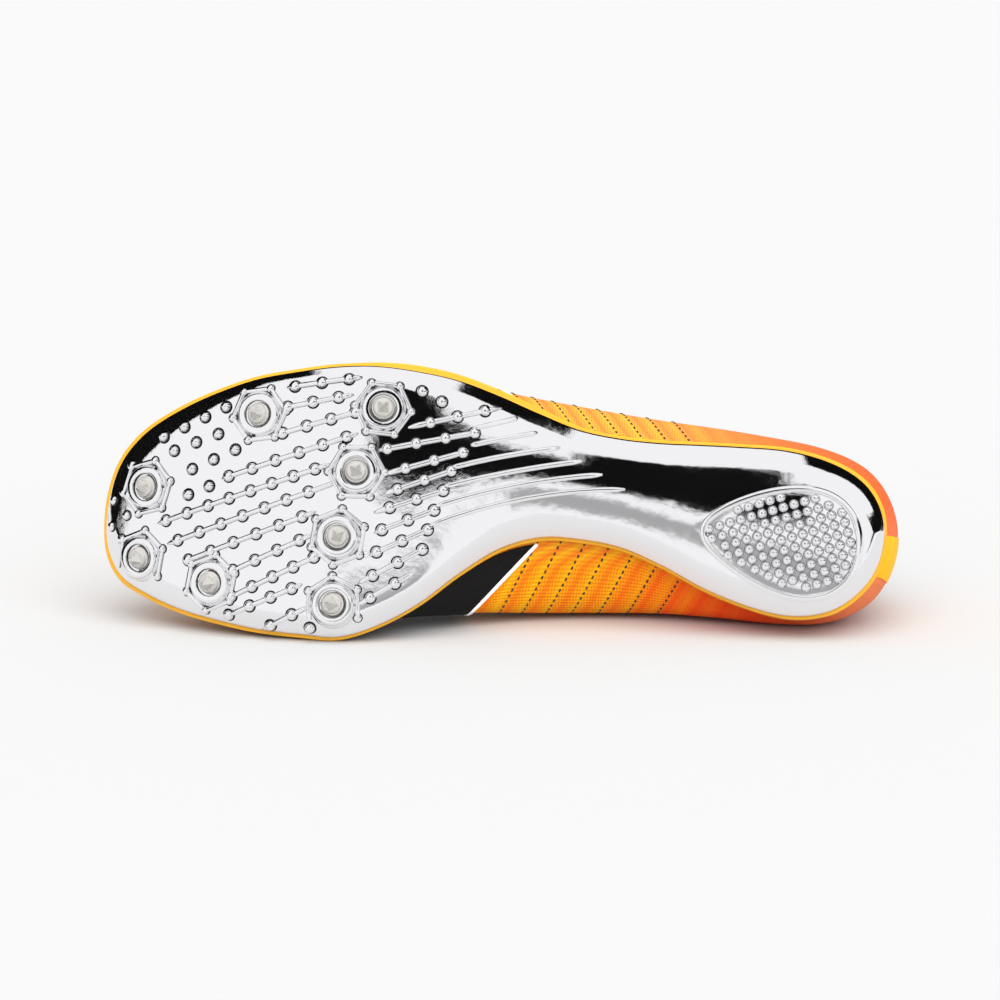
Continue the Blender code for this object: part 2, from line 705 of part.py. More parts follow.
def spike_mesh():
    """A spike standing on Z = 0: a round foot and body, and a four-sided point with a blunt tip."""
    sides, faces = 12, 4
    mesh = bpy.data.meshes.new("spike")
    form = bmesh.new()
    profile = (
        (SPIKE_FOOT_RADIUS, 0.0), (SPIKE_FOOT_RADIUS, SPIKE_FOOT), (SPIKE_RADIUS, SPIKE_FOOT * 1.3),
        (SPIKE_RADIUS * 0.92, WELL_DEPTH),
    )
    rings = [ring_of(form, radius, height, sides) for radius, height in profile]
    for lower, upper in zip(rings, rings[1:]):
        join_rings(form, lower, upper)
    form.faces.new(rings[0][::-1])
    corners = ring_of(form, SPIKE_RADIUS * 0.74, WELL_DEPTH + SPIKE_FOOT * 0.3, faces)
    tip = ring_of(form, SPIKE_RADIUS * 0.13, SPIKE_HEIGHT, faces)
    shoulder = rings[-1]
    per_face = sides // faces
    for k in range(faces):
        following = corners[(k + 1) % faces]
        for step in range(per_face):
            first = shoulder[k * per_face + step]
            second = shoulder[(k * per_face + step + 1) % sides]
            form.faces.new((first, second, corners[k] if step < per_face - 1 else following))
        form.faces.new((shoulder[k * per_face + per_face - 1], following, corners[k]))
    join_rings(form, corners, tip)
    form.faces.new(tip)
    bmesh.ops.recalc_face_normals(form, faces=form.faces)
    form.to_mesh(mesh)
    form.free()
    return mesh


def make_spikes():
    """Eight replaceable spikes, one in each well."""
    for name, _, place in spike_places():
        new_object(name, spike_mesh(), "frosted_plastic").matrix_local = place


def make_midsole():
    """The thin foam wedge whose edge shows as a line round the plate, thicker under the heel."""
    return sole_layer(
        "midsole", "yellow_foam", MIDSOLE_PROUD,
        lambda x, y: underside_height(x, y) + PLATE_WALL + CLEARANCE, midsole_top, midsole_flare,
    )


def make_insole():
    """The sock liner, lying on the midsole inside the upper."""
    return sole_layer(
        "insole", "black_textile", -INSOLE_INSET, lambda x, y: midsole_top(x, y) + CLEARANCE,
        lambda x, y: midsole_top(x, y) + CLEARANCE + INSOLE_WALL,
    )


# Pieces of the upper

UPPER_ANGLES = sorted(
    [math.pi * k / 32 for k in range(33)]
    + [angle_of(THROAT_FRONT - share * THROAT_END_LENGTH) for share in (0.0, 0.06, 0.25, 0.6)]
)
UPPER_RISES = [0.0, 0.02, 0.09, 0.18, 0.27, 0.36, 0.46, 0.56, 0.66, 0.76, 0.86, 0.94, 1.0]


def make_upper():
    return skin_patch("upper", "orange_weave", UPPER_ANGLES, lambda station: UPPER_RISES, -UPPER_WALL, 0.0)


def angles_between(first, last):
    """The upper's own sections between two stations, and the two stations themselves."""
    inside = [a for a in UPPER_ANGLES if first + 0.004 < station_of(a) < last - 0.004]
    return [angle_of(first), *inside, angle_of(last)]


def make_eyestay():
    """The facing round the throat, a thin overlay with the eyelets in it."""
    return skin_patch(
        "eyestay", "black_film", angles_between(THROAT_TOP, THROAT_FRONT + EYESTAY_FRONT),
        lambda station: UPPER_RISES[-4:], CLEARANCE, CLEARANCE + OVERLAY_WALL,
    )


def make_forefoot_panels():
    """A plain dark film on each side of the forefoot, whose back edge leans forwards from the sole."""
    for side, name, back in ((-1, "inner", PANEL_BACK_INNER), (1, "outer", PANEL_BACK_OUTER)):
        panel = skin_patch(
            f"forefoot_panel_{name}", "black_film", angles_between(back - 0.02, PANEL_FRONT),
            lambda station: UPPER_RISES[1:9], CLEARANCE, CLEARANCE + OVERLAY_WALL, sides=(side,),
        )
        inner, outer = sole_edges(sole_station(back * LENGTH))
        edge = outer if side > 0 else inner
        corner = Vector((back * LENGTH, edge, midsole_top(back * LENGTH, edge)))
        ahead = Vector((1, -side * PANEL_LEAN_OUT, -PANEL_LEAN_UP)).normalized()
        box = bmesh.new()
        bmesh.ops.create_cube(box, size=2 * BALL_BREADTH)
        bmesh.ops.translate(box, verts=box.verts, vec=(0, 0, -BALL_BREADTH))
        mesh = bpy.data.meshes.new("panel_end")
        box.to_mesh(mesh)
        box.free()
        cutter = helper(f"panel_end_{name}", mesh)
        cutter.matrix_local = aligned(ahead, corner)
        boolean(panel, cutter, "DIFFERENCE")


def make_heel_strip():
    """The plain strip up the back of the heel, most of it on the inner side."""
    angles = [UPPER_ANGLES[1] * share for share in HEEL_STRIP_SPAN]
    return skin_patch(
        "heel_strip", "yellow_film", angles, lambda station: UPPER_RISES[1:-1],
        CLEARANCE, CLEARANCE + OVERLAY_WALL, sides=(-1,),
    )


def eyelet_places():
    """(row, side, station, rise) of each eyelet, from the top row to the front."""
    for row in range(EYELET_ROWS):
        station = EYELET_FIRST + (EYELET_LAST - EYELET_FIRST) * row / (EYELET_ROWS - 1)
        angle = angle_of(station)
        for side in (-1, 1):
            edge = last_point(angle, side, 1.0)
            near = last_point(angle, side, 0.9)
            yield row, side, station, 1 - 0.1 * EYELET_EDGE / (near - edge).length


def punch_eyelets(pieces):
    """Cuts the eyelets through the facing and the upper under it."""
    depth = UPPER_WALL * 2
    for row, side, station, rise in eyelet_places():
        mesh = turned_mesh("eyelet", ((EYELET_RADIUS, -depth), (EYELET_RADIUS, depth)), 10)
        cutter = helper(f"eyelet_{row + 1}_{'outer' if side > 0 else 'inner'}", mesh)
        angle = angle_of(station)
        cutter.matrix_local = aligned(last_normal(angle, side, rise), last_point(angle, side, rise))
        for piece in pieces:
            boolean(piece, cutter, "DIFFERENCE")


def lace_bar(name, first, second, low, shorter):
    """One crossing of the flat lace, from one eyelet over both edges of the throat to another."""
    places = {(row, side): (station, rise) for row, side, station, rise in eyelet_places()}
    (start, start_rise), (finish, finish_rise) = places[first], places[second]
    beyond = 1 + (0.5 - 0.12 * shorter) * LACE_BREADTH / EYELET_EDGE
    breadth = LACE_BREADTH * (1 - 0.08 * shorter)
    walk = [(first[1], 1 - (1 - start_rise) * beyond * (1 - k / 2)) for k in range(2)]
    walk += [(0, k / 3) for k in range(4)]
    walk += [(second[1], 1 - (1 - finish_rise) * beyond * k / 2) for k in range(1, 3)]
    layers = [[], []]
    for k, (side, at) in enumerate(walk):
        middle = start + (finish - start) * k / (len(walk) - 1)
        for lane in (-0.5, 0.5):
            angle = angle_of(middle + lane * breadth / LENGTH)
            for layer, out in zip(layers, (low, low + LACE_WALL)):
                if side:
                    layer.append(wall_point(angle, side, at, out))
                else:
                    edges = [wall_point(angle, one, 1.0, out) for one in (first[1], second[1])]
                    layer.append(edges[0].lerp(edges[1], at) + Vector((0, 0, LACE_ARCH * 4 * at * (1 - at))))
    quads = [[2 * k, 2 * k + 1, 2 * k + 3, 2 * k + 2] for k in range(len(walk) - 1)]
    return closed_shell(name, *layers, quads)


def make_lace():
    """The lace's crossings, joined where they cross and at the eyelets, clear of facing and tongue."""
    low = 2 * CLEARANCE + OVERLAY_WALL
    bars = [((EYELET_ROWS - 1, -1), (EYELET_ROWS - 1, 1), 0)]
    for row in range(EYELET_ROWS - 1):
        bars += [((row + 1, -1), (row, 1), 1), ((row + 1, 1), (row, -1), 2)]
    lace = None
    for number, (first, second, step) in enumerate(bars):
        mesh = lace_bar("lace", first, second, low + 0.25 * step * LACE_WALL, step)
        if lace is None:
            lace = new_object("lace", mesh, "black_textile", smooth=False)
        else:
            boolean(lace, helper(f"lace_bar_{number}", mesh), "UNION")
    return lace


def under_last(station, across):
    """Height under the upper's inner face at a place of a section, or between the throat's edges."""
    side = 1 if across > 0 else -1
    ridge = SECTION["ridge"](station) * BALL_BREADTH
    angle = angle_of(station)
    edge = last_point(angle, side, 1.0)
    reach = abs(across)
    if reach <= abs(edge.y - ridge):
        return edge.z - UPPER_WALL - 2 * CLEARANCE
    rises = np.linspace(1.0, 0.4, 31)
    points = [wall_point(angle, side, rise, -UPPER_WALL - 2 * CLEARANCE) for rise in rises]
    reaches = [abs(point.y - ridge) for point in points]
    return float(np.interp(reach, reaches, [point.z for point in points]))


def make_tongue():
    """The tongue: a thin pad under the throat that stands up past the collar."""
    stations = [TONGUE_FRONT + (THROAT_TOP - TONGUE_FRONT) * k / 12 for k in range(13)]
    lanes = [-1.0, -0.72, -0.45, -0.2, 0.0, 0.2, 0.45, 0.72, 1.0]
    top_rows = 3
    above, below = [], []
    for station in stations:
        ridge = SECTION["ridge"](station) * BALL_BREADTH
        tucked = ease((station - THROAT_TOP) / TONGUE_TUCK)
        half = TOP["half_opening"](min(station, THROAT_FRONT))
        half += (TONGUE_FREE + TONGUE_OVERLAP) * tucked - TONGUE_FREE
        for lane in lanes:
            y = lane * half
            dip = TONGUE_DIP * ease((station - THROAT_FRONT + 0.05) / 0.04)
            above.append(Vector((LENGTH * station, ridge + y, under_last(station, y) - dip)))
    first, second = above[-2 * len(lanes) + 4], above[-len(lanes) + 4]
    heading = math.atan2(second.z - first.z, first.x - second.x)
    last_row = above[-len(lanes):]
    for row in range(1, top_rows + 1):
        length = TONGUE_TOP_LENGTH * row / top_rows
        turn = heading + TONGUE_TOP_TURN * row / top_rows / 2
        shift = Vector((-math.cos(turn) * length, 0.0, math.sin(turn) * length))
        middle = last_row[4]
        narrow = 1 - 0.10 * row / top_rows
        for point in last_row:
            flatter = 1 - 0.15 * row
            across = middle.y + (point.y - middle.y) * narrow
            above.append(Vector((point.x, across, middle.z + (point.z - middle.z) * flatter)) + shift)
    width = len(lanes)
    rows = len(above) // width
    for i in range(rows):
        for j in range(width):
            ahead = above[min(i + 1, rows - 1) * width + j] - above[max(i - 1, 0) * width + j]
            across = above[i * width + min(j + 1, width - 1)] - above[i * width + max(j - 1, 0)]
            out = ahead.cross(across).normalized()
            out = out if out.z > 0 else -out
            below.append(above[i * width + j] - out * TONGUE_WALL)
    quads = [[i * width + j, (i + 1) * width + j, (i + 1) * width + j + 1, i * width + j + 1]
             for i in range(rows - 1) for j in range(width - 1)]
    return new_object("tongue", closed_shell("tongue", below, above, quads), "black_textile")


# Laying the shoe down

def solid_facts(objects):
    """Corner points and centre of mass of the finished solids, in the shoe's frame."""
    graph = bpy.context.evaluated_depsgraph_get()
    points, moment, volume = [], Vector(), 0.0
    for obj in objects:
        evaluated = obj.evaluated_get(graph)
        form = bmesh.new()
        form.from_mesh(evaluated.to_mesh())
        evaluated.to_mesh_clear()
        form.transform(obj.matrix_world)
        points += [v.co.copy() for v in form.verts]
        for face in bmesh.ops.triangulate(form, faces=form.faces)["faces"]:
            a, b, c = (v.co for v in face.verts)
            part = a.dot(b.cross(c)) / 6
            moment += (a + b + c) * (part / 4)
            volume += part
        form.free()
    return points, moment / volume


def resting_direction(points, centre, start):
    """Direction to the floor once the shoe, set down on one side, has settled on three points."""
    form = bmesh.new()
    for point in points:
        form.verts.new(point)
    bmesh.ops.convex_hull(form, input=form.verts)
    corners = [[v.co.copy() for v in f.verts] for f in form.faces]
    form.free()
    cloud = np.array([corner for face in corners for corner in face])
    sides = []
    for a, b, c in corners:
        normal = (b - a).cross(c - a)
        if normal.length < 1e-8:
            continue
        normal.normalize()
        normal = normal if normal.dot(a - centre) > 0 else -normal
        if (cloud @ np.array(normal)).max() - a.dot(normal) < 1e-6:
            sides.append((normal.dot(a - centre), normal))
    down = start
    for _ in range(len(sides)):
        ahead = [(height, normal) for height, normal in sides if normal.dot(down) > 1e-6]
        best = min((height / normal.dot(down), tuple(normal)) for height, normal in ahead)[1]
        if (Vector(best) - down).length < 1e-6:
            break
        down = Vector(best)
    return down


def lay_down(shoe, objects):
    """Turns the shoe to rest on its inner side, its sole facing -Y, its toe to -X, and the floor at Z = 0."""
    bpy.context.view_layer.update()
    points, centre = solid_facts(objects)
    down = resting_direction(points, centre, Vector((0.0, -1.0, 0.1)).normalized())
    up = -down
    to_heel = Vector((-1.0, 0.0, 0.0))
    right = (to_heel - up * to_heel.dot(up)).normalized()
    away = up.cross(right)
    turn = Matrix((right, away, up)).to_4x4()
    turned = np.array([turn @ point for point in points])
    low, high = turned.min(axis=0), turned.max(axis=0)
    middle = Vector(((low[0] + high[0]) / 2, (low[1] + high[1]) / 2, low[2]))
    shoe.matrix_world = Matrix.Translation(-middle) @ turn


def main():
    for obj in list(bpy.data.objects):
        bpy.data.objects.remove(obj)
    shoe = bpy.data.objects.new("shoe", None)
    bpy.context.scene.collection.objects.link(shoe)
    make_plate()
    make_spikes()
    make_midsole()
    make_insole()
    upper = make_upper()
    eyestay = make_eyestay()
    punch_eyelets((upper, eyestay))
    make_forefoot_panels()
    make_heel_strip()
    make_tongue()
    make_lace()
    pieces = [obj for obj in bpy.data.objects if obj.type == "MESH" and not obj.hide_render]
    lay_down(shoe, pieces)


main()
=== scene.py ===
"""Left track spike shoe on its side, with the chromed sprint plate to the camera.

The pieces are made in the shoe's own frame, in metres: X from the heel to the toe, Y to the outer side and Z
from the sole to the instep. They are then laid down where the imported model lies.
"""

import json
import math

import bmesh
import bpy
import numpy as np
from mathutils import Matrix, Vector


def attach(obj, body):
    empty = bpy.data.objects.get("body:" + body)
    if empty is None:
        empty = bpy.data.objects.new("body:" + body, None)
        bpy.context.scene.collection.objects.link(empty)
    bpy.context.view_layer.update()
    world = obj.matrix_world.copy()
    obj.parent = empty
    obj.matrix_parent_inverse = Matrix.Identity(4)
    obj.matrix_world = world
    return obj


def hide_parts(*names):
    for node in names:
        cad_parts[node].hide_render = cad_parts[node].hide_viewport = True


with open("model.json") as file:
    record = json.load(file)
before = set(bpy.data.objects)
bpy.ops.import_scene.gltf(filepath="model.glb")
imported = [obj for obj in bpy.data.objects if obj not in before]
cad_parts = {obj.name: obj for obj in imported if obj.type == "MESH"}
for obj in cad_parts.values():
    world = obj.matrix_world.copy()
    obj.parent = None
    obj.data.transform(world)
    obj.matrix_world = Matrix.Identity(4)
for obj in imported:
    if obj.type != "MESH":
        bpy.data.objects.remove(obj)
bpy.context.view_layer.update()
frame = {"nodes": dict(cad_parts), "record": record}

bl_info = {
    "name": "Track Spike Shoe",
    "version": (1, 0, 0),
    "blender": (4, 5, 0),
    "location": "View3D > Sidebar > Track Spike",
    "description": "Builds a sprint spike shoe with a chromed plate and a woven upper",
    "category": "Add Mesh",
}

# Driving sizes of the shoe, as in the part's source
LENGTH = 0.275
BALL_BREADTH = 0.0925
INSTEP_HEIGHT = 0.080
HEEL_HEIGHT = 0.070
TOE_SPRING = 0.030
SHANK_LIFT = 0.0075
HEEL_BEVEL = 0.004
CLEARANCE = 0.0003
PLATE_WALL = 0.0018
MIDSOLE_FRONT = 0.0022
MIDSOLE_HEEL = 0.0055
MIDSOLE_PROUD = 0.0011
UPPER_WALL = 0.0016
UPPER_INSET = 0.0016
OVERLAY_WALL = 0.0007
LACE_BREADTH = 0.0060
LACE_WALL = 0.0011
LACE_ARCH = 0.0012
BALL_STATION = 0.665
SHANK_START = 0.10
HEEL_BEVEL_STATION = 0.13
PLATE_HEEL = 0.0235
PLATE_TOE = 0.9975
THROAT_TOP = 0.385
THROAT_FRONT = 0.665
THROAT_END_LENGTH = 0.030
TOE_CURL = 1.85
EDGE_ROLL = 0.0075
EDGE_LIFT = 0.0030
CROWN = 0.0030
CROWN_HALF_BREADTH = 0.025
BOSS_FACE_RADIUS = 0.0065
BOSS_HEIGHT = 0.0020
WELL_RADIUS = 0.0047
WELL_DEPTH = 0.0024
SPIKE_RADIUS = 0.0034
SPIKE_FOOT_RADIUS = 0.0039
SPIKE_FOOT = 0.0010
SPIKE_HEIGHT = 0.0064
PAD_LENGTH = 0.0556
PAD_BREADTH = 0.0375
PAD_SKEW = 0.36
PAD_TURN = math.radians(9)
PAD_CENTRE = (0.1527, -0.035)
RIM_BREADTH = 0.0024
RIM_HEIGHT = 0.0012
EYELET_RADIUS = 0.0018
EYELET_ROWS = 6
EYELET_FIRST = 0.405
EYELET_LAST = 0.630
EYELET_EDGE = 0.0065
EYESTAY_FRONT = 0.045
PANEL_FRONT = 0.80
PANEL_BACK_INNER = 0.447
PANEL_BACK_OUTER = 0.463
PANEL_LEAN = (0.95, 0.25)
MIDSOLE_FLARE = 0.0012
HEEL_STRIP_SPAN = (0.3, 2.6)
HEEL_STRIP_STEP = math.pi / 32
HEEL_TOP_FORWARD = 0.0060
HEEL_CURVE_REACH = 0.30
BULGE_RISE = 0.36
ROUNDNESS = 0.56

# Across the sole: shares of the ball's breadth from the shoe's long axis
OUTLINE_COLUMNS = ("station", "centre", "half_breadth")
OUTLINE = (
    (0.000, 0.002, 0.000), (0.027, -0.014, 0.194), (0.078, -0.019, 0.283), (0.130, -0.003, 0.306),
    (0.181, 0.025, 0.292), (0.232, 0.063, 0.265), (0.284, 0.111, 0.227), (0.335, 0.154, 0.203),
    (0.386, 0.187, 0.204), (0.438, 0.223, 0.231), (0.489, 0.236, 0.284), (0.540, 0.219, 0.356),
    (0.592, 0.180, 0.428), (0.643, 0.151, 0.477), (0.694, 0.129, 0.499), (0.746, 0.127, 0.485),
    (0.797, 0.126, 0.464), (0.848, 0.122, 0.425), (0.900, 0.115, 0.371), (0.951, 0.106, 0.290),
    (0.977, 0.089, 0.221), (1.000, 0.045, 0.000),
)

# Sections of the last: side bulges and ridge as shares of the ball's breadth, bulge height and flare from the
# sole's edge in metres and degrees, and how far the section has turned level at its top
SECTION_COLUMNS = (
    "station", "inner_bulge", "outer_bulge", "bulge_height", "inner_flare", "outer_flare", "ridge", "level",
)
SECTIONS = (
    (0.000, 0.000, 0.000, 0.0240, 25, 25, 0.000, 0.05),
    (0.040, -0.266, 0.245, 0.0240, 22, 22, 0.006, 0.05),
    (0.100, -0.334, 0.326, 0.0240, 20, 18, 0.016, 0.08),
    (0.160, -0.330, 0.366, 0.0240, 22, 20, 0.030, 0.12),
    (0.220, -0.308, 0.402, 0.0260, 34, 30, 0.050, 0.24),
    (0.300, -0.284, 0.446, 0.0300, 56, 44, 0.078, 0.52),
    (0.380, -0.278, 0.492, 0.0320, 66, 50, 0.098, 0.80),
    (0.450, -0.277, 0.530, 0.0310, 64, 48, 0.108, 0.90),
    (0.520, -0.276, 0.568, 0.0260, 52, 36, 0.108, 0.95),
    (0.600, -0.286, 0.606, 0.0190, 26, 16, 0.098, 0.98),
    (0.680, -0.304, 0.612, 0.0150, 6, 4, 0.082, 1.00),
    (0.760, -0.308, 0.592, 0.0160, 4, 4, 0.070, 1.00),
    (0.840, -0.284, 0.526, 0.0200, 4, 4, 0.062, 1.00),
    (0.900, -0.236, 0.458, 0.0240, 4, 4, 0.060, 1.00),
    (0.950, -0.172, 0.362, 0.0290, 4, 4, 0.060, 1.00),
    (0.985, -0.066, 0.215, 0.0330, 4, 4, 0.056, 1.00),
    (1.000, 0.046, 0.046, 0.0345, 4, 4, 0.046, 1.00),
)
TOPLINE_COLUMNS = ("station", "heel_share", "instep_share", "half_top", "half_opening")
TOPLINE = (
    (0.000, 1.000, 0.000, 0.0000, 0.0000), (0.040, 0.985, 0.000, 0.0152, 0.0152),
    (0.100, 0.890, 0.000, 0.0226, 0.0226), (0.160, 0.820, 0.000, 0.0252, 0.0252),
    (0.220, 0.640, 0.165, 0.0256, 0.0256), (0.290, 0.300, 0.535, 0.0234, 0.0234),
    (0.340, 0.070, 0.870, 0.0190, 0.0200), (0.385, 0.000, 1.000, 0.0120, 0.0165),
    (0.450, 0.000, 0.955, 0.0050, 0.0132), (0.520, 0.000, 0.870, 0.0000, 0.0112),
    (0.600, 0.000, 0.770, 0.0000, 0.0092), (0.665, 0.000, 0.695, 0.0000, 0.0080),
    (0.740, 0.000, 0.640, 0.0000, 0.0000), (0.820, 0.000, 0.612, 0.0000, 0.0000),
    (0.880, 0.000, 0.596, 0.0000, 0.0000), (0.940, 0.000, 0.568, 0.0000, 0.0000),
    (0.975, 0.000, 0.528, 0.0000, 0.0000), (1.000, 0.000, 0.474, 0.0000, 0.0000),
)

# Spike wells: station along the shoe, share of the ball's breadth across it, and the pin's lean to the toe and
# to the outer side in degrees
SPIKES = (
    (0.9420, 0.202, 3, -4), (0.9515, -0.060, 3, -9), (0.8605, -0.161, 0, -9), (0.7970, 0.455, 8, 2),
    (0.7070, -0.252, 6, 7), (0.7005, -0.005, -5, 8), (0.6765, 0.234, -1, 9), (0.6430, 0.466, -3, 9),
)
PIN_SEAT = BOSS_HEIGHT - WELL_DEPTH + CLEARANCE + SPIKE_FOOT_RADIUS * math.sin(math.radians(10))

# Ribs from the tread to the shank: start, middle and end, each as (station, share of the ball's breadth)
RIBS = (
    ((0.533, 0.390), (0.503, 0.412), (0.476, 0.431)),
    ((0.535, 0.330), (0.493, 0.355), (0.452, 0.377)),
    ((0.560, 0.246), (0.493, 0.290), (0.424, 0.320)),
    ((0.570, 0.176), (0.484, 0.232), (0.397, 0.270)),
    ((0.580, 0.104), (0.477, 0.182), (0.372, 0.219)),
    ((0.588, 0.032), (0.467, 0.134), (0.344, 0.163)),
)
RIB_BREADTH = 0.0018
RIB_HEIGHT = 0.0009

# Rows of studs on the forefoot: first and last stud as (station, share), how many, and how far the bar through
# them runs on past the first and the last, in steps of the row
ROWS = (
    (0.7519, 0.5548, 0.6847, 0.5773, 3, 0.3, 0.5),
    (0.7615, 0.4786, 0.6978, 0.5098, 3, 0.3, 0.6),
    (0.7682, 0.3825, 0.6769, 0.4532, 4, 0.2, 0.4),
    (0.8362, 0.2292, 0.6884, 0.3621, 6, 0.3, 0.5),
    (0.9172, 0.0737, 0.7277, 0.2467, 8, 0.4, 0.7),
    (0.9021, -0.0008, 0.7360, 0.1625, 7, 0.5, 1.3),
    (0.8889, -0.0752, 0.7444, 0.0718, 6, 0.2, 0.6),
    (0.8321, -0.1188, 0.7479, -0.0144, 4, 0.0, 0.6),
    (0.8341, -0.2152, 0.7302, -0.0779, 5, 0.0, 0.4),
    (0.8379, -0.2818, 0.7582, -0.1914, 4, 0.0, 0.5),
    (0.7853, -0.3234, 0.7585, -0.2875, 2, 0.4, 0.8),
    (0.7361, -0.3359, 0.7361, -0.3359, 1, 0.0, 0.0),
    (0.5944, 0.5294, 0.5702, 0.4905, 2, 0.0, 0.0),
    (0.5849, 0.4130, 0.5169, 0.4576, 3, 0.8, 0.6),
    (0.6385, 0.3172, 0.5302, 0.3747, 4, 0.3, 0.2),
    (0.6161, 0.2445, 0.5450, 0.3020, 3, 0.7, 0.2),
    (0.6260, 0.1678, 0.5597, 0.2341, 3, 0.5, 0.2),
    (0.6359, 0.1004, 0.5697, 0.1619, 3, 0.6, 0.2),
    (0.6458, 0.0191, 0.5811, 0.0899, 3, 0.3, 0.2),
    (0.6526, -0.0622, 0.5895, 0.0180, 3, 0.3, 0.2),
    (0.6577, -0.1485, 0.5962, -0.0538, 3, 0.6, 0.1),
    (0.6612, -0.2297, 0.6303, -0.1778, 2, 0.5, 0.8),
)

# Pointed studs of the toe, in arcs: first and last stud and how many
CONE_ARCS = (
    (0.8391, 0.4872, 0.9192, 0.3861, 4),
    (0.8493, 0.3882, 0.9059, 0.3331, 3),
    (0.8277, 0.3273, 0.8830, 0.2618, 3),
    (0.8613, 0.1960, 0.8882, 0.1672, 2),
)
EDGE_STUDS = (
    (0.9617, 0.2872), (0.9668, 0.1777), (0.9856, 0.1598),
    (0.9686, 0.0997), (0.9887, 0.0616), (0.9757, 0.0128),
)

# Dashed stitch lines: side, how far along the shoe the first one leaves the sole's edge, the step to the next
# one there in metres, and how many
STITCH_LINES = ((-1, 0.0755, 0.0081, 7), (1, 0.0702, 0.0082, 8))
STITCH_LEAN = (0.50, 0.12)
WALL_HEIGHT = 0.075

# How far the pressed films stand over the weave
FILM_RISE = 0.0006


# Functions of the shoe's form, as in the part's source

def angle_of(station):
    """Angle whose cosine spaces the stations, so that they crowd towards the heel and the toe."""
    return math.acos(1 - 2 * min(max(station, 0.0), 1.0))


def station_of(angle):
    return (1 - math.cos(angle)) / 2


def smooth_column(columns, rows, name):
    """A smooth function of the station through one column of a table."""
    at = np.array([angle_of(row[0]) for row in rows])
    value = np.array([row[columns.index(name)] for row in rows], float)
    step = np.diff(at)
    rise = np.diff(value) / step
    middle = (step[1:] * rise[:-1] + step[:-1] * rise[1:]) / (step[1:] + step[:-1])
    slope = np.concatenate([[rise[0]], middle, [rise[-1]]])

    def read(station):
        angle = angle_of(station)
        i = int(min(max(np.searchsorted(at, angle) - 1, 0), len(step) - 1))
        t = (angle - at[i]) / step[i]
        bend = (1 - t) * slope[i] - t * slope[i + 1] - (1 - 2 * t) * rise[i]
        return float((1 - t) * value[i] + t * value[i + 1] + t * (1 - t) * step[i] * bend)

    return read


sole_centre, sole_half = (smooth_column(OUTLINE_COLUMNS, OUTLINE, name) for name in OUTLINE_COLUMNS[1:])
SECTION = {name: smooth_column(SECTION_COLUMNS, SECTIONS, name) for name in SECTION_COLUMNS[1:]}
TOP = {name: smooth_column(TOPLINE_COLUMNS, TOPLINE, name) for name in TOPLINE_COLUMNS[1:]}
FOUND_SECTIONS = {}


def clamp(value, low=0.0, high=1.0):
    return min(max(value, low), high)


def ease(value):
    """0 to 1 with no corner at either end."""
    t = clamp(value)
    return t * t * (3 - 2 * t)


def bottom_line(x):
    """Height of the plate's underside along its middle: bevelled heel, raised shank, ball, and toe spring."""
    share = x / LENGTH
    toe = max(0.0, share - BALL_STATION) / (1 - BALL_STATION)
    heel = max(0.0, HEEL_BEVEL_STATION - share) / HEEL_BEVEL_STATION
    shank = clamp((share - SHANK_START) / (BALL_STATION - SHANK_START))
    return TOE_SPRING * toe**TOE_CURL + HEEL_BEVEL * heel**2 + SHANK_LIFT * math.sin(math.pi * shank) ** 2


def sole_x(station, proud=0.0):
    """Place along the shoe of a station of the sole, whose ends stand proud of the plate's."""
    heel, toe = PLATE_HEEL * LENGTH - proud, PLATE_TOE * LENGTH + proud
    return heel + (toe - heel) * station


def sole_edges(station, proud=0.0):
    """Inner and outer edge of the sole across the shoe."""
    centre = sole_centre(station) * BALL_BREADTH
    half = sole_half(station) * BALL_BREADTH
    half += proud * min(1.0, half / (4 * abs(proud))) if proud else 0.0
    return centre - half, centre + half


def sole_station(x):
    return clamp((x / LENGTH - PLATE_HEEL) / (PLATE_TOE - PLATE_HEEL))


def crown_at(x):
    """How far the plate's sides rise over its middle: most at the shank."""
    share = x / LENGTH
    return CROWN * (0.35 + 0.65 * ease((0.62 - share) / 0.16) * ease((share - 0.02) / 0.16))


def underside_height(x, y):
    """Height of the plate's underside at any place."""
    station = sole_station(x)
    inner, outer = sole_edges(station)
    half = max((outer - inner) / 2, 1e-6)
    across = clamp((y - (inner + outer) / 2) / half, -1.0, 1.0)
    before, after = max(station - 0.004, 0.0), min(station + 0.004, 1.0)
    slant = (sole_half(after) - sole_half(before)) * BALL_BREADTH / ((after - before) * LENGTH)
    to_edge = half * (1 - abs(across)) / math.hypot(1, slant)
    roll = max(0.0, 1 - to_edge / EDGE_ROLL)
    crown = crown_at(x) * across**2 * clamp(half / CROWN_HALF_BREADTH)
    return bottom_line(x) + crown + EDGE_LIFT * roll**2


def underside_normal(x, y):
    """Unit vector out of the sole, towards the ground."""
    reach = 0.0015
    along = (underside_height(x + reach, y) - underside_height(x - reach, y)) / (2 * reach)
    across = (underside_height(x, y + reach) - underside_height(x, y - reach)) / (2 * reach)
    return Vector((along, across, -1)).normalized()


def midsole_flare(station):
    """How much further the midsole stands out on the outer side of the waist."""
    return MIDSOLE_FLARE * ease((station - 0.36) / 0.10) * ease((0.68 - station) / 0.10)


def midsole_wall(x):
    return MIDSOLE_FRONT + (MIDSOLE_HEEL - MIDSOLE_FRONT) * ease((0.62 - x / LENGTH) / 0.40)


def midsole_top(x, y):
    return underside_height(x, y) + PLATE_WALL + CLEARANCE + midsole_wall(x)


def half_opening(station):
    """Half the breadth of the collar's and the throat's opening, with a round front end."""
    if station >= THROAT_FRONT:
        return 0.0
    end = (station - (THROAT_FRONT - THROAT_END_LENGTH)) / THROAT_END_LENGTH
    return TOP["half_opening"](station) * math.sqrt(1 - clamp(end) ** 2)


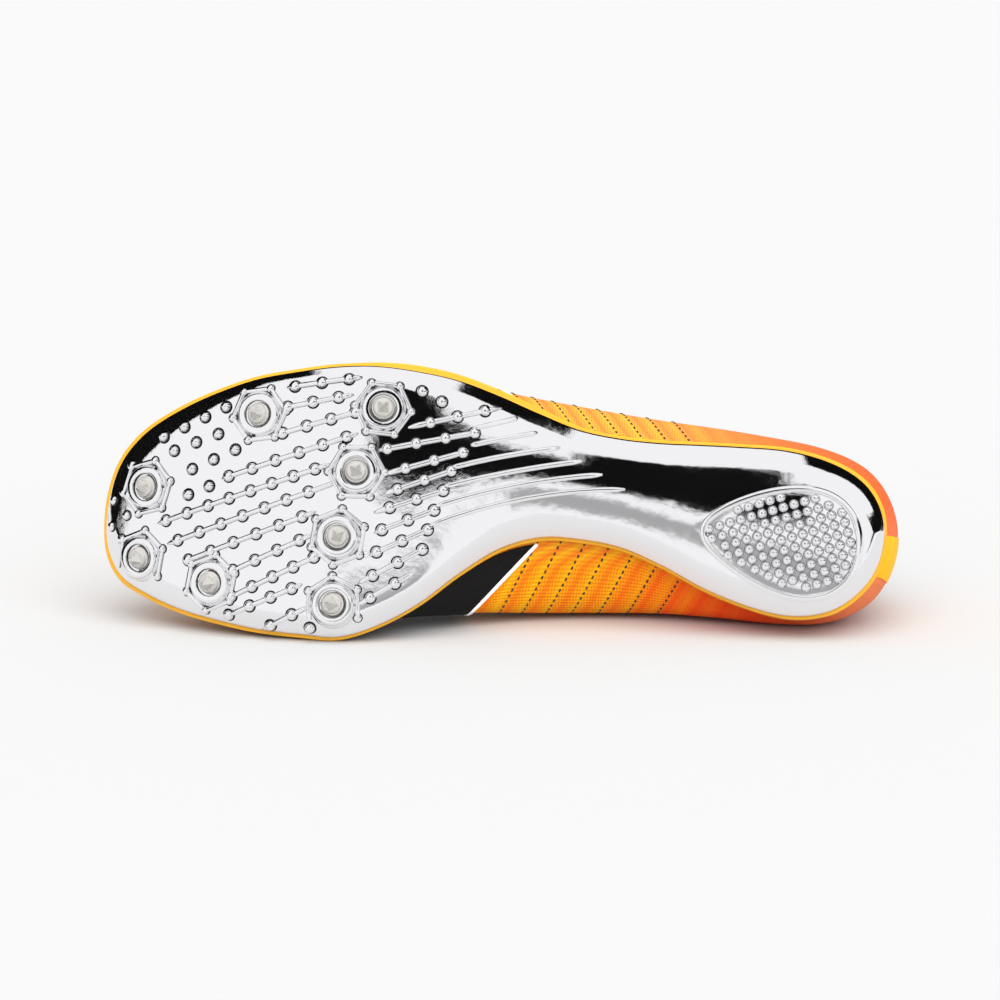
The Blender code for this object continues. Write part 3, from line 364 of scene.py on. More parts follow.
def bezier(a, b, c, d, t):
    s = 1 - t
    return s**3 * a + 3 * s * s * t * b + 3 * s * t * t * c + t**3 * d


def last_section(station, side):
    """One side's section: its foot, bulge and top, each as (across, height), and how far up its edge lies."""
    key = (round(station, 9), side)
    if key in FOUND_SECTIONS:
        return FOUND_SECTIONS[key]
    x = sole_x(station, MIDSOLE_PROUD - UPPER_INSET)
    inner, outer = sole_edges(station, MIDSOLE_PROUD - UPPER_INSET)
    foot = outer if side > 0 else inner
    bulge = SECTION["outer_bulge" if side > 0 else "inner_bulge"](station) * BALL_BREADTH
    ridge = SECTION["ridge"](station) * BALL_BREADTH
    top = TOP["heel_share"](station) * HEEL_HEIGHT + TOP["instep_share"](station) * INSTEP_HEIGHT
    foot_height = midsole_top(x, foot) + 2 * CLEARANCE
    toe_drop = 0.8 * bottom_line(x) * ease((station - 0.7) / 0.3)
    bulge_height = max(bottom_line(x) + SECTION["bulge_height"](station) - toe_drop, foot_height + 0.0015)
    top = max(top, bulge_height + 0.0004)
    half_top = max(TOP["half_top"](station), 0.0) if station < THROAT_FRONT else 0.0
    top_across = ridge + side * half_top
    level = SECTION["level"](station)
    low, high = 0.0, 1.0
    opening = max(half_opening(station), half_top)
    if opening > half_top:
        for _ in range(30):
            middle = (low + high) / 2
            shoulder = top_across + (bulge - top_across) * ROUNDNESS * level
            across = bezier(bulge, bulge, shoulder, top_across, middle)
            low, high = (middle, high) if abs(across - ridge) > opening else (low, middle)
    found = (foot, foot_height), (bulge, bulge_height), (top_across, top), high
    FOUND_SECTIONS[key] = found
    return found


def last_point(angle, side, rise):
    """A point of the shoe's outer form. Past the heel, toe or ridge, it goes on down the other side."""
    if angle < 0 or angle > math.pi:
        angle, side = (-angle if angle < 0 else 2 * math.pi - angle), -side
    station = station_of(angle)
    if rise > 1 and station >= THROAT_FRONT:
        rise, side = 2 - rise, -side
    foot, bulge, top, edge = last_section(station, side)
    flare = math.radians(SECTION["outer_flare" if side > 0 else "inner_flare"](station))
    level = SECTION["level"](station)
    if rise < BULGE_RISE:
        t = rise / BULGE_RISE
        climb = bulge[1] - foot[1]
        spread = bulge[0] - foot[0]
        start = (foot[0] + spread * 0.55 * math.sin(flare), foot[1] + climb * 0.55 * math.cos(flare))
        y = bezier(foot[0], start[0], bulge[0], bulge[0], t)
        z = bezier(foot[1], start[1], bulge[1] - climb * 0.45, bulge[1], t)
    else:
        t = (rise - BULGE_RISE) / (1 - BULGE_RISE)
        t -= (1 - edge) * t**3
        climb = top[1] - bulge[1]
        y = bezier(bulge[0], bulge[0], top[0] + (bulge[0] - top[0]) * ROUNDNESS * level, top[0], t)
        shoulder = top[1] - climb * ROUNDNESS * (1 - level)
        z = bezier(bulge[1], bulge[1] + climb * ROUNDNESS, shoulder, top[1], t)
    foot_x = sole_x(station, MIDSOLE_PROUD - UPPER_INSET)
    bulge_x = (LENGTH - 0.0005) * station
    below = clamp((bulge[1] - z) / max(bulge[1] - foot[1], 1e-6))
    above = clamp((z - bulge[1]) / (HEEL_HEIGHT - bulge[1]))
    forward = HEEL_TOP_FORWARD * above**1.6 * ease(1 - station / HEEL_CURVE_REACH)
    return Vector((bulge_x + (foot_x - bulge_x) * below**2 + forward, y, z))


def last_normal(angle, side, rise):
    """Unit vector out of the shoe at a point of its outer form."""
    reach = 0.012
    top = 1.0 + (reach if station_of(angle) >= THROAT_FRONT else 0.0)
    along = last_point(angle + reach, side, rise) - last_point(angle - reach, side, rise)
    up = last_point(angle, side, min(rise + reach, top)) - last_point(angle, side, max(rise - reach, 0.0))
    return (up.cross(along) * side).normalized()


def wall_point(angle, side, rise, out):
    """A point that far outside the shoe's outer form, or inside it when out is negative."""
    return last_point(angle, side, rise) + last_normal(angle, side, rise) * out


def leant_place(point, side, lean):
    """Where a point lies along the shoe, on lines that lean towards the toe as they go out and up."""
    return point.x - lean[0] * side * point.y - lean[1] * point.z


def line_start(x, side, lean):
    """The leant place of the line that leaves the sole's edge that far along the shoe."""
    edge = sole_edges(sole_station(x))[1 if side > 0 else 0]
    return leant_place(Vector((x, edge, midsole_top(x, edge))), side, lean)


def leaning_angle(side, rise, start, lean):
    """The section where a leaning line crosses one height of the wall."""
    station = clamp(start / LENGTH, 0.02, 0.98)
    for _ in range(12):
        point = last_point(angle_of(station), side, rise)
        station = clamp(station + (start - leant_place(point, side, lean)) / LENGTH, 0.005, 0.995)
    return angle_of(station)


def aligned(direction, spot):
    """Places a form whose +Z is to point along direction, at spot."""
    return Matrix.Translation(spot) @ direction.to_track_quat("Z", "X").to_matrix().to_4x4()


def sole_spot(station, share):
    """A place on the plate's underside from its station and its share of the ball's breadth."""
    x, y = station * LENGTH, share * BALL_BREADTH
    return Vector((x, y, underside_height(x, y)))


def spike_places():
    """The well's placing and the pin's placing of each spike."""
    for station, share, lean_toe, lean_outer in SPIKES:
        spot = sole_spot(station, share)
        out = underside_normal(spot.x, spot.y)
        lean = Vector((math.tan(math.radians(lean_toe)), math.tan(math.radians(lean_outer)), 0.0))
        yield aligned(out, spot), aligned((out + lean).normalized(), spot + out * PIN_SEAT)


def pad_axes():
    """The heel pad's axes in the plane of the sole: towards the heel, and outwards."""
    heelward = Vector((-math.cos(PAD_TURN), -math.sin(PAD_TURN)))
    return heelward, Vector((-heelward.y, heelward.x)) * -1


def pad_centre():
    return Vector((PAD_CENTRE[0] * LENGTH, PAD_CENTRE[1] * BALL_BREADTH))


def pad_point(turn, inset=0.0):
    """A point of the heel pad's egg-shaped outline, in the plane of the sole."""
    heelward, outward = pad_axes()
    along = -math.cos(turn) * (PAD_LENGTH / 2 - inset)
    across = math.sin(turn) * (1 - PAD_SKEW * math.cos(turn)) * (PAD_BREADTH / 2 - inset)
    return pad_centre() + heelward * along + outward * across


def pad_depth(x, y):
    """How far inside the heel pad's outline a place lies, from 0 at the outline, as a share of its breadth."""
    heelward, outward = pad_axes()
    offset = Vector((x, y)) - pad_centre()
    cosine = -offset.dot(heelward) / (PAD_LENGTH / 2)
    if abs(cosine) >= 1:
        return 0.0
    limit = math.sqrt(1 - cosine**2) * (1 - PAD_SKEW * cosine) * PAD_BREADTH / 2
    return max(0.0, limit - abs(offset.dot(outward))) / (PAD_BREADTH / 2)


def laid_down():
    """The shoe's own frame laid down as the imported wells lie: the nearest rigid turn and shift."""
    mounts = {mount["name"]: mount["pos_m"] for mount in frame["record"]["mounts"]}
    ring = Vector(((WELL_RADIUS + BOSS_FACE_RADIUS) / 2, 0, BOSS_HEIGHT))
    own = np.array([well @ ring for well, _ in spike_places()])
    laid = np.array([mounts[f"well_face_{number}"] for number in range(1, len(SPIKES) + 1)])
    first, _, second = np.linalg.svd((own - own.mean(0)).T @ (laid - laid.mean(0)))
    flip = np.diag([1, 1, np.sign(np.linalg.det(second.T @ first.T))])
    turn = second.T @ flip @ first.T
    return turn, laid.mean(0) - turn @ own.mean(0)


TURN, SHIFT = laid_down()


# Colours and materials

def linear(code):
    """An sRGB hex colour as linear red, green and blue."""
    parts = [int(code[k:k + 2], 16) / 255 for k in (1, 3, 5)]
    return tuple(v / 12.92 if v <= 0.04045 else ((v + 0.055) / 1.055) ** 2.4 for v in parts)


def opaque(colour):
    return (*colour, 1.0)


def add_node(tree, kind, settings=None, values=None, links=None):
    """Adds a node with its settings, the values of its sockets and the links into them."""
    made = tree.nodes.new(kind)
    for name, value in (settings or {}).items():
        setattr(made, name, value)
    for name, value in (values or {}).items():
        made.inputs[name].default_value = value
    for name, source in (links or {}).items():
        tree.links.new(source, made.inputs[name])
    return made


def new_material(name, values):
    """A material with one Principled shader, its tree and the shader."""
    made = bpy.data.materials.new(name)
    made.use_nodes = True
    shader = made.node_tree.nodes["Principled BSDF"]
    for socket, value in values.items():
        shader.inputs[socket].default_value = value
    return made, made.node_tree, shader


def set_stops(ramp, stops):
    """Gives a colour ramp its stops, as (place, hex colour)."""
    elements = ramp.color_ramp.elements
    while len(elements) < len(stops):
        elements.new(1.0)
    for element, (place, code) in zip(elements, stops):
        element.position = place
        element.color = opaque(linear(code))


def add_bump(tree, shader, height, distance):
    """Lets a height, in metres at its full value, stand out of the surface."""
    bump = add_node(tree, "ShaderNodeBump", values={"Distance": distance}, links={"Height": height})
    tree.links.new(bump.outputs["Normal"], shader.inputs["Normal"])


def mottled(tree, shader, first, second, share):
    """Base colour between two colours, by a share."""
    tint = add_node(
        tree, "ShaderNodeMix", settings={"data_type": "RGBA"},
        values={"A": opaque(first), "B": opaque(second)}, links={"Factor": share},
    )
    tree.links.new(tint.outputs["Result"], shader.inputs["Base Color"])


def noise_of(tree, place, grain, detail):
    """Noise with grains of that many metres."""
    return add_node(
        tree, "ShaderNodeTexNoise", values={"Scale": 1 / grain, "Detail": detail},
        links={"Vector": place.outputs["Object"]},
    ).outputs["Fac"]


def chrome_plating(colour):
    """Vacuum-metallised plastic: a near mirror, grainy at its reflections' edges, with painted shade darkening the
    foot of each stud and bar.
    """
    made, tree, shader = new_material("chromed_plastic", {"Metallic": 1.0, "Roughness": 0.05})
    place = add_node(tree, "ShaderNodeTexCoord")
    # painted shade: a dark ring at the foot of each stud and bar darkens the crease where it meets the plate
    cloth = add_node(tree, "ShaderNodeAttribute", settings={"attribute_name": "cloth"})
    parts = add_node(tree, "ShaderNodeSeparateXYZ", links={"Vector": cloth.outputs["Vector"]})
    tint = add_node(
        tree, "ShaderNodeMix", settings={"data_type": "RGBA", "clamp_factor": True},
        values={"A": opaque(colour), "B": (0.02, 0.02, 0.02, 1)}, links={"Factor": parts.outputs["X"]},
    )
    tree.links.new(tint.outputs["Result"], shader.inputs["Base Color"])
    # grain of 0.3 mm in the sprayed base coat, and long swells of 12 mm from moulding
    grain, swell = noise_of(tree, place, 0.0003, 2.0), noise_of(tree, place, 0.012, 3.0)
    fine = add_node(tree, "ShaderNodeBump", values={"Distance": 0.000009}, links={"Height": grain})
    broad = add_node(
        tree, "ShaderNodeBump", values={"Distance": 0.00016},
        links={"Height": swell, "Normal": fine.outputs["Normal"]},
    )
    tree.links.new(broad.outputs["Normal"], shader.inputs["Normal"])
    return made


def painted_foam(colour):
    """Skinned EVA foam, sprayed yellow: satin, with the fine pebble of its skin."""
    made, tree, shader = new_material(
        "painted_foam", {"Roughness": 0.42, "Coat Weight": 0.15, "Coat Roughness": 0.3},
    )
    place = add_node(tree, "ShaderNodeTexCoord")
    # paint a little thinner in clouds of 10 mm, and a pebble of 0.4 mm
    mottled(tree, shader, colour, [v * 0.86 for v in colour], noise_of(tree, place, 0.010, 3.0))
    pebble = add_node(
        tree, "ShaderNodeTexVoronoi", values={"Scale": 1 / 0.0004}, links={"Vector": place.outputs["Object"]},
    )
    add_bump(tree, shader, pebble.outputs["Distance"], 0.00003)
    return made


def film(name, colour, roughness):
    """Thermoplastic film pressed on the weave: even and satin, with the cords below just showing through."""
    made, tree, shader = new_material(name, {"Roughness": roughness, "Specular IOR Level": 0.15})
    cloth = add_node(tree, "ShaderNodeAttribute", settings={"attribute_name": "cloth"})
    parts = add_node(tree, "ShaderNodeSeparateXYZ", links={"Vector": cloth.outputs["Vector"]})
    cords = add_node(
        tree, "ShaderNodeMath", settings={"operation": "MULTIPLY"},
        values={1: 2 * math.pi / CORD_PITCH}, links={0: parts.outputs["Y"]},
    )
    wave = add_node(tree, "ShaderNodeMath", settings={"operation": "SINE"}, links={0: cords.outputs[0]})
    place = add_node(tree, "ShaderNodeTexCoord")
    # scuffs of 2 mm, a shade lighter
    mottled(tree, shader, colour, [v * 1.5 + 0.002 for v in colour], noise_of(tree, place, 0.002, 4.0))
    add_bump(tree, shader, wave.outputs[0], 0.00002)
    return made


# Cords and picks of the weave, drawn a little coarser than real so that they show
CORD_PITCH = 0.0012
PICK_PITCH = 0.0010


def woven_upper_material():
    """Woven polyester: lengthwise cords crossed by dyed picks, matt, in bands between the stitch lines."""
    made, tree, shader = new_material("woven_polyester", {"Roughness": 0.65, "Specular IOR Level": 0.18})

    def math_node(operation, first, second=None, third=None):
        made_node = add_node(tree, "ShaderNodeMath", settings={"operation": operation})
        for number, source in enumerate((first, second, third)):
            if isinstance(source, (int, float)):
                made_node.inputs[number].default_value = source
            elif source is not None:
                tree.links.new(source, made_node.inputs[number])
        return made_node.outputs[0]

    cloth = add_node(tree, "ShaderNodeAttribute", settings={"attribute_name": "cloth"})
    parts = add_node(tree, "ShaderNodeSeparateXYZ", links={"Vector": cloth.outputs["Vector"]})
    lines, up, side = parts.outputs["X"], parts.outputs["Y"], parts.outputs["Z"]
    first, step = LINE_PHASES[0]
    along = math_node("MULTIPLY_ADD", lines, step, first)
    cord = math_node("SINE", math_node("MULTIPLY", up, 2 * math.pi / CORD_PITCH))
    row = math_node("FLOOR", math_node("DIVIDE", up, CORD_PITCH))
    odd = math_node("MULTIPLY", math_node("MODULO", row, 2.0), math.pi)
    pick = math_node("SINE", math_node("MULTIPLY_ADD", along, 2 * math.pi / PICK_PITCH, odd))
    share = math_node("DIVIDE", along, LENGTH)
    which = math_node("MULTIPLY_ADD", side, 2.5, 0.5)

    def dyed(row):
        ramps = []
        for stops in row:
            ramps.append(add_node(tree, "ShaderNodeValToRGB", links={"Fac": share}))
            set_stops(ramps[-1], stops)
        return add_node(
            tree, "ShaderNodeMix", settings={"data_type": "RGBA", "clamp_factor": True},
            links={"Factor": which, "A": ramps[0].outputs["Color"], "B": ramps[1].outputs["Color"]},
        ).outputs["Result"]

    # dyed bands on the heel side of each stitch line, their edges broken up pick by pick
    turn = math_node("MULTIPLY", lines, 2 * math.pi)
    swing = math_node("MULTIPLY", math_node("SINE", turn), -1.0)
    narrow = math_node("SINE", math_node("MULTIPLY", turn, 3.0))
    broken = math_node("ADD", math_node("MULTIPLY", narrow, 0.35), math_node("MULTIPLY", pick, 0.75))
    banded = add_node(
        tree, "ShaderNodeMapRange", settings={"clamp": True}, values={"From Min": -0.35, "From Max": 0.35},
        links={"Value": math_node("ADD", swing, broken)},
    )
    coloured = add_node(
        tree, "ShaderNodeMix", settings={"data_type": "RGBA", "clamp_factor": True},
        links={"Factor": banded.outputs["Result"], "A": dyed(BASE_DYES), "B": dyed(BAND_DYES)},
    )
    # painted shade: the colour darkens in the valleys between the cords
    valley_shade = math_node("MULTIPLY_ADD", cord, 0.09, 0.91)
    shade = add_node(
        tree, "ShaderNodeVectorMath", settings={"operation": "SCALE"},
        links={"Vector": coloured.outputs["Result"], "Scale": valley_shade},
    )
    tree.links.new(shade.outputs["Vector"], shader.inputs["Base Color"])
    height = math_node("MULTIPLY_ADD", math_node("MULTIPLY", cord, pick), 0.5, cord)
    add_bump(tree, shader, height, 0.00009)
    return made


def knit_textile(name, colour, pitch):
    """Plain knitted textile: matt, with a fine mesh of loops."""
    made, tree, shader = new_material(name, {"Roughness": 0.85, "Sheen Weight": 0.25, "Sheen Roughness": 0.5})
    place = add_node(tree, "ShaderNodeTexCoord")
    loops = add_node(
        tree, "ShaderNodeTexVoronoi", values={"Scale": 1 / pitch}, links={"Vector": place.outputs["Object"]},
    )
    mottled(tree, shader, colour, [v * 1.8 + 0.004 for v in colour], loops.outputs["Distance"])
    add_bump(tree, shader, loops.outputs["Distance"], 0.00012)
    return made


def frosted_nylon(colour):
    """Glass-filled nylon of the spikes: grey, milky and satin, with a fine moulded grain."""
    made, tree, shader = new_material("frosted_nylon", {
        "Roughness": 0.14, "IOR": 1.53, "Transmission Weight": 0.30, "Coat Weight": 0.8, "Coat Roughness": 0.05,
    })
    place = add_node(tree, "ShaderNodeTexCoord")
    # milky clouds of 1.2 mm
    cloud = noise_of(tree, place, 0.0012, 4.0)
    mottled(tree, shader, [v * 0.8 for v in colour], colour, cloud)
    add_bump(tree, shader, cloud, 0.00004)
    return made


def studio_paper(colour):
    """Seamless studio paper: quite matt and even."""
    return new_material(
        "studio_paper", {"Base Color": opaque(colour), "Roughness": 0.9, "Specular IOR Level": 0.0},
    )[0]


def lit_card(name, strength):
    """White card with an even light of its own, for the reflections."""
    return new_material(name, {
        "Base Color": (0, 0, 0, 1), "Emission Color": (1, 1, 1, 1), "Emission Strength": strength,
        "Specular IOR Level": 0.0,
    })[0]


# Meshes

class Form:
    """Points and faces in the shoe's own frame, gathered into one mesh."""

    def __init__(self):
        self.points, self.faces, self.looks, self.cloth = [], [], [], []

    def add(self, points, faces, look=0, cloth=None):
        start = len(self.points)
        self.points += [tuple(point) for point in points]
        self.faces += [tuple(start + k for k in face) for face in faces]
        self.looks += [look] * len(faces)
        self.cloth += [tuple(value) for value in cloth] if cloth else [(0.0, 0.0, 0.0)] * len(points)

    def piece(self, name, materials, node=None, slot=None, sharp=40, halves=False):
        """Makes the object, laid down, riding on the shoe, and standing for its CAD node.

        Two halves are welded where they meet, and their rims there are taken out.
        """
        mesh = bpy.data.meshes.new(name)
        laid = np.array(self.points) @ TURN.T + SHIFT
        laid[:, 2] = np.maximum(laid[:, 2], 0.0)
        mesh.from_pydata(laid.tolist(), [], self.faces)
        mesh.polygons.foreach_set("material_index", self.looks)
        layer = mesh.attributes.new("cloth", "FLOAT_VECTOR", "POINT")
        layer.data.foreach_set("vector", np.array(self.cloth, float).ravel())
        form = bmesh.new()
        form.from_mesh(mesh)
        bmesh.ops.remove_doubles(form, verts=form.verts, dist=2e-6 if halves else 1e-7)
        if halves:
            crowded = {edge for edge in form.edges if len(edge.link_faces) > 2}
            inner = [face for face in form.faces if len(face.edges) == 4
                     and any(face.edges[k] in crowded and face.edges[k + 2] in crowded for k in (0, 1))]
            bmesh.ops.delete(form, geom=inner, context="FACES_ONLY")
        bmesh.ops.recalc_face_normals(form, faces=form.faces)
        form.to_mesh(mesh)
        form.free()
        for made in materials:
            mesh.materials.append(made)
        mesh.shade_smooth()
        mesh.set_sharp_from_angle(angle=math.radians(sharp))
        obj = bpy.data.objects.new(name, mesh)
        bpy.context.scene.collection.objects.link(obj)
        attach(obj, "root")
        if node:
            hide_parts(*([node] if isinstance(node, str) else node))
        return obj


def turned(profile, sides):
    """Points and faces of a solid of revolution about Z through (radius, height) pairs, from low to high."""
    points, faces = [], []
    for radius, height in profile:
        for k in range(sides):
            turn = 2 * math.pi * k / sides
            points.append(Vector((radius * math.cos(turn), radius * math.sin(turn), height)))
    for row in range(len(profile) - 1):
        for k in range(sides):
            a, b = row * sides + k, row * sides + (k + 1) % sides
            faces.append((a, b, b + sides, a + sides))
    faces.append(tuple(reversed(range(sides))))
    faces.append(tuple(range((len(profile) - 1) * sides, len(profile) * sides)))
    return points, faces


def placed(shape, matrix):
    points, faces = shape
    return [matrix @ point for point in points], faces


def sweep(path, ups, section, closed=False, ends=None):
    """Points and faces of a section, as (across, lift) pairs, carried along a path with its up vectors.

    ends scales the section ring by ring as (from the end, scale) pairs.
    """
    points, faces = [], []
    last, width = len(path) - 1, len(section)
    for k, (spot, up) in enumerate(zip(path, ups)):
        after = path[(k + 1) % len(path)] if closed else path[min(k + 1, last)]
        before = path[k - 1] if closed else path[max(k - 1, 0)]
        across = (after - before).cross(up).normalized()
        scale = (ends or {}).get(min(k, last - k), 1.0)
        points += [spot + across * (a * scale) + up * (b * scale if b > 0 else b) for a, b in section]
    rings = len(path) if closed else last
    for k in range(rings):
        for j in range(width):
            a, b = k * width + j, k * width + (j + 1) % width
            c, d = ((k + 1) % len(path)) * width + (j + 1) % width, ((k + 1) % len(path)) * width + j
            faces.append((a, b, c, d))
    if not closed:
        faces.append(tuple(reversed(range(width))))
        faces.append(tuple(range(last * width, (last + 1) * width)))
    return points, faces


def ridge_section(breadth, height, sunk=0.0005, steps=6, fullness=2.4):
    """A low rounded ridge with its foot sunk into what carries it."""
    section = [(-breadth / 2, -sunk), (breadth / 2, -sunk)]
    for k in range(steps + 1):
        turn = math.pi * k / steps
        c, s = math.cos(turn), math.sin(turn)
        across = math.copysign(abs(c) ** (2 / fullness), c)
        section.append((breadth / 2 * across, height * s ** (2 / fullness)))
    return section


def flat_section(breadth, wall, steps=8):
    """A flat band with rounded edges."""
    section = []
    for k in range(2 * steps):
        turn = math.pi * k / steps
        c, s = math.cos(turn), math.sin(turn)
        across, lift = math.copysign(abs(c) ** 0.45, c), math.copysign(abs(s) ** 0.8, s)
        section.append((breadth / 2 * across, wall / 2 * lift))
    return section


RIDGE_ENDS = {0: 0.35, 1: 0.85}


def sole_path(points, steps):
    """Spots and normals on the plate's underside through a list of (station, share) places."""
    path, ups = [], []
    spans = len(points) - 1
    for k in range(steps * spans + 1):
        number, t = min(k // steps, spans - 1), k / steps - min(k // steps, spans - 1)
        first, second = points[number], points[number + 1]
        spot = sole_spot(first[0] + (second[0] - first[0]) * t, first[1] + (second[1] - first[1]) * t)
        path.append(spot)
        ups.append(underside_normal(spot.x, spot.y))
    return path, ups


def sole_solid(form, proud, low, high, stations, lanes, radius, flare=lambda station: 0.0):
    """A layer of the sole between two heights, with its edge rounded over on both faces."""
    def spots(shrink):
        rows = []
        for station in stations:
            x = sole_x(station, proud - shrink)
            inner, outer = sole_edges(station, proud - shrink)
            rows.append((x, inner, outer + flare(station)))
        return rows

    loop = [("low", lane, 0.0, radius) for lane in lanes]
    turns = [math.pi / 2 * k / 4 for k in range(1, 5)]
    loop += [("low", 1.0, radius * (1 - math.cos(t)), radius * (1 - math.sin(t))) for t in turns]
    loop += [("high", 1.0, -radius * (1 - math.cos(t)), radius * (1 - math.sin(t))) for t in turns[::-1]]
    loop += [("high", lane, 0.0, radius) for lane in lanes[::-1]]
    loop += [("high", -1.0, -radius * (1 - math.cos(t)), radius * (1 - math.sin(t))) for t in turns]
    loop += [("low", -1.0, radius * (1 - math.cos(t)), radius * (1 - math.sin(t))) for t in turns[::-1]]
    edges = {shrink: spots(shrink) for shrink in {entry[3] for entry in loop}}
    points, faces = [], []
    for i in range(len(stations)):
        for face, lane, lift, shrink in loop:
            x, inner, outer = edges[shrink][i]
            y = inner + (outer - inner) * (1 + lane) / 2
            points.append(Vector((x, y, (low if face == "low" else high)(x, y) + lift)))
    width = len(loop)
    for i in range(len(stations) - 1):
        for j in range(width):
            a, b = i * width + j, i * width + (j + 1) % width
            faces.append((a, b, b + width, a + width))
    form.add(points, faces)


def even_angles(first, last, count):
    low, high = angle_of(first), angle_of(last)
    return [low + (high - low) * k / (count - 1) for k in range(count)]


# On each side, the leant place of the first stitch line and the mean step to the next one
LINE_PHASES = []
for line_side, line_foot, line_step, line_count in STITCH_LINES:
    first_line, last_line = (
        line_start(line_foot + line_step * number, line_side, STITCH_LEAN) for number in (0, line_count - 1)
    )
    LINE_PHASES.append((first_line, (last_line - first_line) / (line_count - 1)))


def cloth_of(point, side, rise):
    """Where a point lies in the weave: stitch lines passed, height up the wall, how far to the outer side."""
    outward = clamp(point.y / (BALL_BREADTH / 2), -1, 1)
    place = leant_place(point, math.copysign(1, point.y), STITCH_LEAN)
    inner, outer = [(place - first) / step for first, step in LINE_PHASES]
    return inner + (outer - inner) * ease(0.5 + 2 * outward), rise * WALL_HEIGHT, outward


def wall_shell(form, columns, inside, outside, looks=(0, 0, 0)):
    """A closed shell on the shoe's form. Each column lists (angle, side, rise), and neighbours are joined."""
    rows = len(columns[0])
    outer, inner, cloth = [], [], []
    for column in columns:
        for angle, side, rise in column:
            outer.append(wall_point(angle, side, rise, outside))
            # the wall thins out at the very tip of the toe, where its inner face would cross the outer one
            tip = (1 - ease((math.pi - angle) / 0.15)) * ease((rise - 0.2) / 0.3)
            inner.append(wall_point(angle, side, rise, inside * (1 - 0.95 * tip)))
            cloth.append(cloth_of(outer[-1], side, rise))
    count = len(outer)
    quads = [(i * rows + j, (i + 1) * rows + j, (i + 1) * rows + j + 1, i * rows + j + 1)
             for i in range(len(columns) - 1) for j in range(rows - 1)]
    form.add(outer + inner, [], 0, cloth + cloth)
    start = len(form.points) - 2 * count
    edges = dict.fromkeys(pair for quad in quads for pair in zip(quad, quad[1:] + quad[:1]))
    rim = [(b, a, a + count, b + count) for a, b in edges if (b, a) not in edges]
    lining = [tuple(k + count for k in quad[::-1]) for quad in quads]
    for faces, look in zip((quads, lining, rim), looks):
        form.faces += [tuple(start + k for k in face) for face in faces]
        form.looks += [look] * len(faces)


# Sizes and colours that a user may change

def length_property(name, description, default, low, high):
    return bpy.props.FloatProperty(
        name=name, description=description, default=default, min=low, max=high, unit="LENGTH",
    )


class ShoeSizes(bpy.types.PropertyGroup):
    stud_breadth: length_property("Stud Breadth", "Diameter of a round stud's dome", 0.0034, 0.001, 0.006)
    stud_height: length_property("Stud Height", "Height of a round stud over the plate", 0.0019, 0.0005, 0.004)
    bar_breadth: length_property("Bar Breadth", "Breadth of the bars between studs", 0.0019, 0.0005, 0.004)
    bar_height: length_property("Bar Height", "Height of the bars between studs", 0.0012, 0.0002, 0.003)
    pad_step: length_property("Pad Stud Step", "Distance between the heel pad's studs", 0.00375, 0.002, 0.01)
    stitch_length: length_property("Stitch Length", "Length of one stitch", 0.0014, 0.0005, 0.004)
    stitch_gap: length_property("Stitch Gap", "Gap between two stitches", 0.0010, 0.0003, 0.004)
    camera_distance: length_property("Camera Distance", "From the camera to the middle of the shoe", 1.40, 0.5, 5.0)
    camera_elevation: bpy.props.FloatProperty(
        name="Camera Elevation", description="Angle of the camera over the floor",
        default=math.radians(12), unit="ROTATION",
    )


def colour_property(name, description, code):
    return bpy.props.FloatVectorProperty(
        name=name, description=description, default=linear(code), min=0.0, max=1.0, size=3, subtype="COLOR",
    )


class ShoeColours(bpy.types.PropertyGroup):
    chrome: colour_property("Chrome", "Tint of the chromed plate", "#ECECEE")
    foam: colour_property("Foam", "Midsole and the line round the plate", "#F7B200")
    strip: colour_property("Heel Strip", "Strip up the back of the heel", "#F7A800")
    film: colour_property("Dark Film", "Film on the sides of the forefoot", "#0B0B0C")
    piping: colour_property("Piping", "Piping at the film's back edge", "#ECECEA")
    thread: colour_property("Thread", "Stitches across the weave", "#1A1614")
    textile: colour_property("Textile", "Lining, tongue and lace", "#202022")
    spikes: colour_property("Spikes", "Frosted body of the spikes", "#DAD7D2")
    paper: colour_property("Studio Paper", "Floor of the studio", "#CDCDCD")


# Dyes from the heel to the toe, as (share of the length, colour), on the inner and the outer side
BASE_DYES = (
    ((0.00, "#FF8C5A"), (0.06, "#FF6E34"), (0.12, "#FF4E08"), (0.19, "#FF6A00"), (0.26, "#FF9A00"),
     (0.33, "#FFB200"), (1.00, "#FFBC00")),
    ((0.00, "#FF6E30"), (0.08, "#FF7C38"), (0.16, "#FF9040"), (0.24, "#FFAA38"),
     (0.32, "#FFB836"), (1.00, "#FFBC30")),
)
BAND_DYES = (
    ((0.00, "#FF8C5A"), (0.06, "#FF6E34"), (0.12, "#FF4A04"), (0.19, "#FF4E00"), (0.26, "#FF6A00"),
     (0.33, "#FF8200"), (1.00, "#FF9000")),
    ((0.00, "#FF6E30"), (0.08, "#FF7C38"), (0.16, "#FF8A3C"), (0.24, "#FF8E3C"),
     (0.32, "#FF9036"), (1.00, "#FF9430")),
)


def sizes():
    return bpy.context.scene.shoe_sizes


def colours():
    return bpy.context.scene.shoe_colours


def shared(name, make):
    """A material that several pieces wear, made once."""
    return bpy.data.materials.get(name) or make()


def chrome():
    return shared("chromed_plastic", lambda: chrome_plating(colours().chrome))


def textile():
    return shared("black_knit", lambda: knit_textile("black_knit", colours().textile, 0.0009))


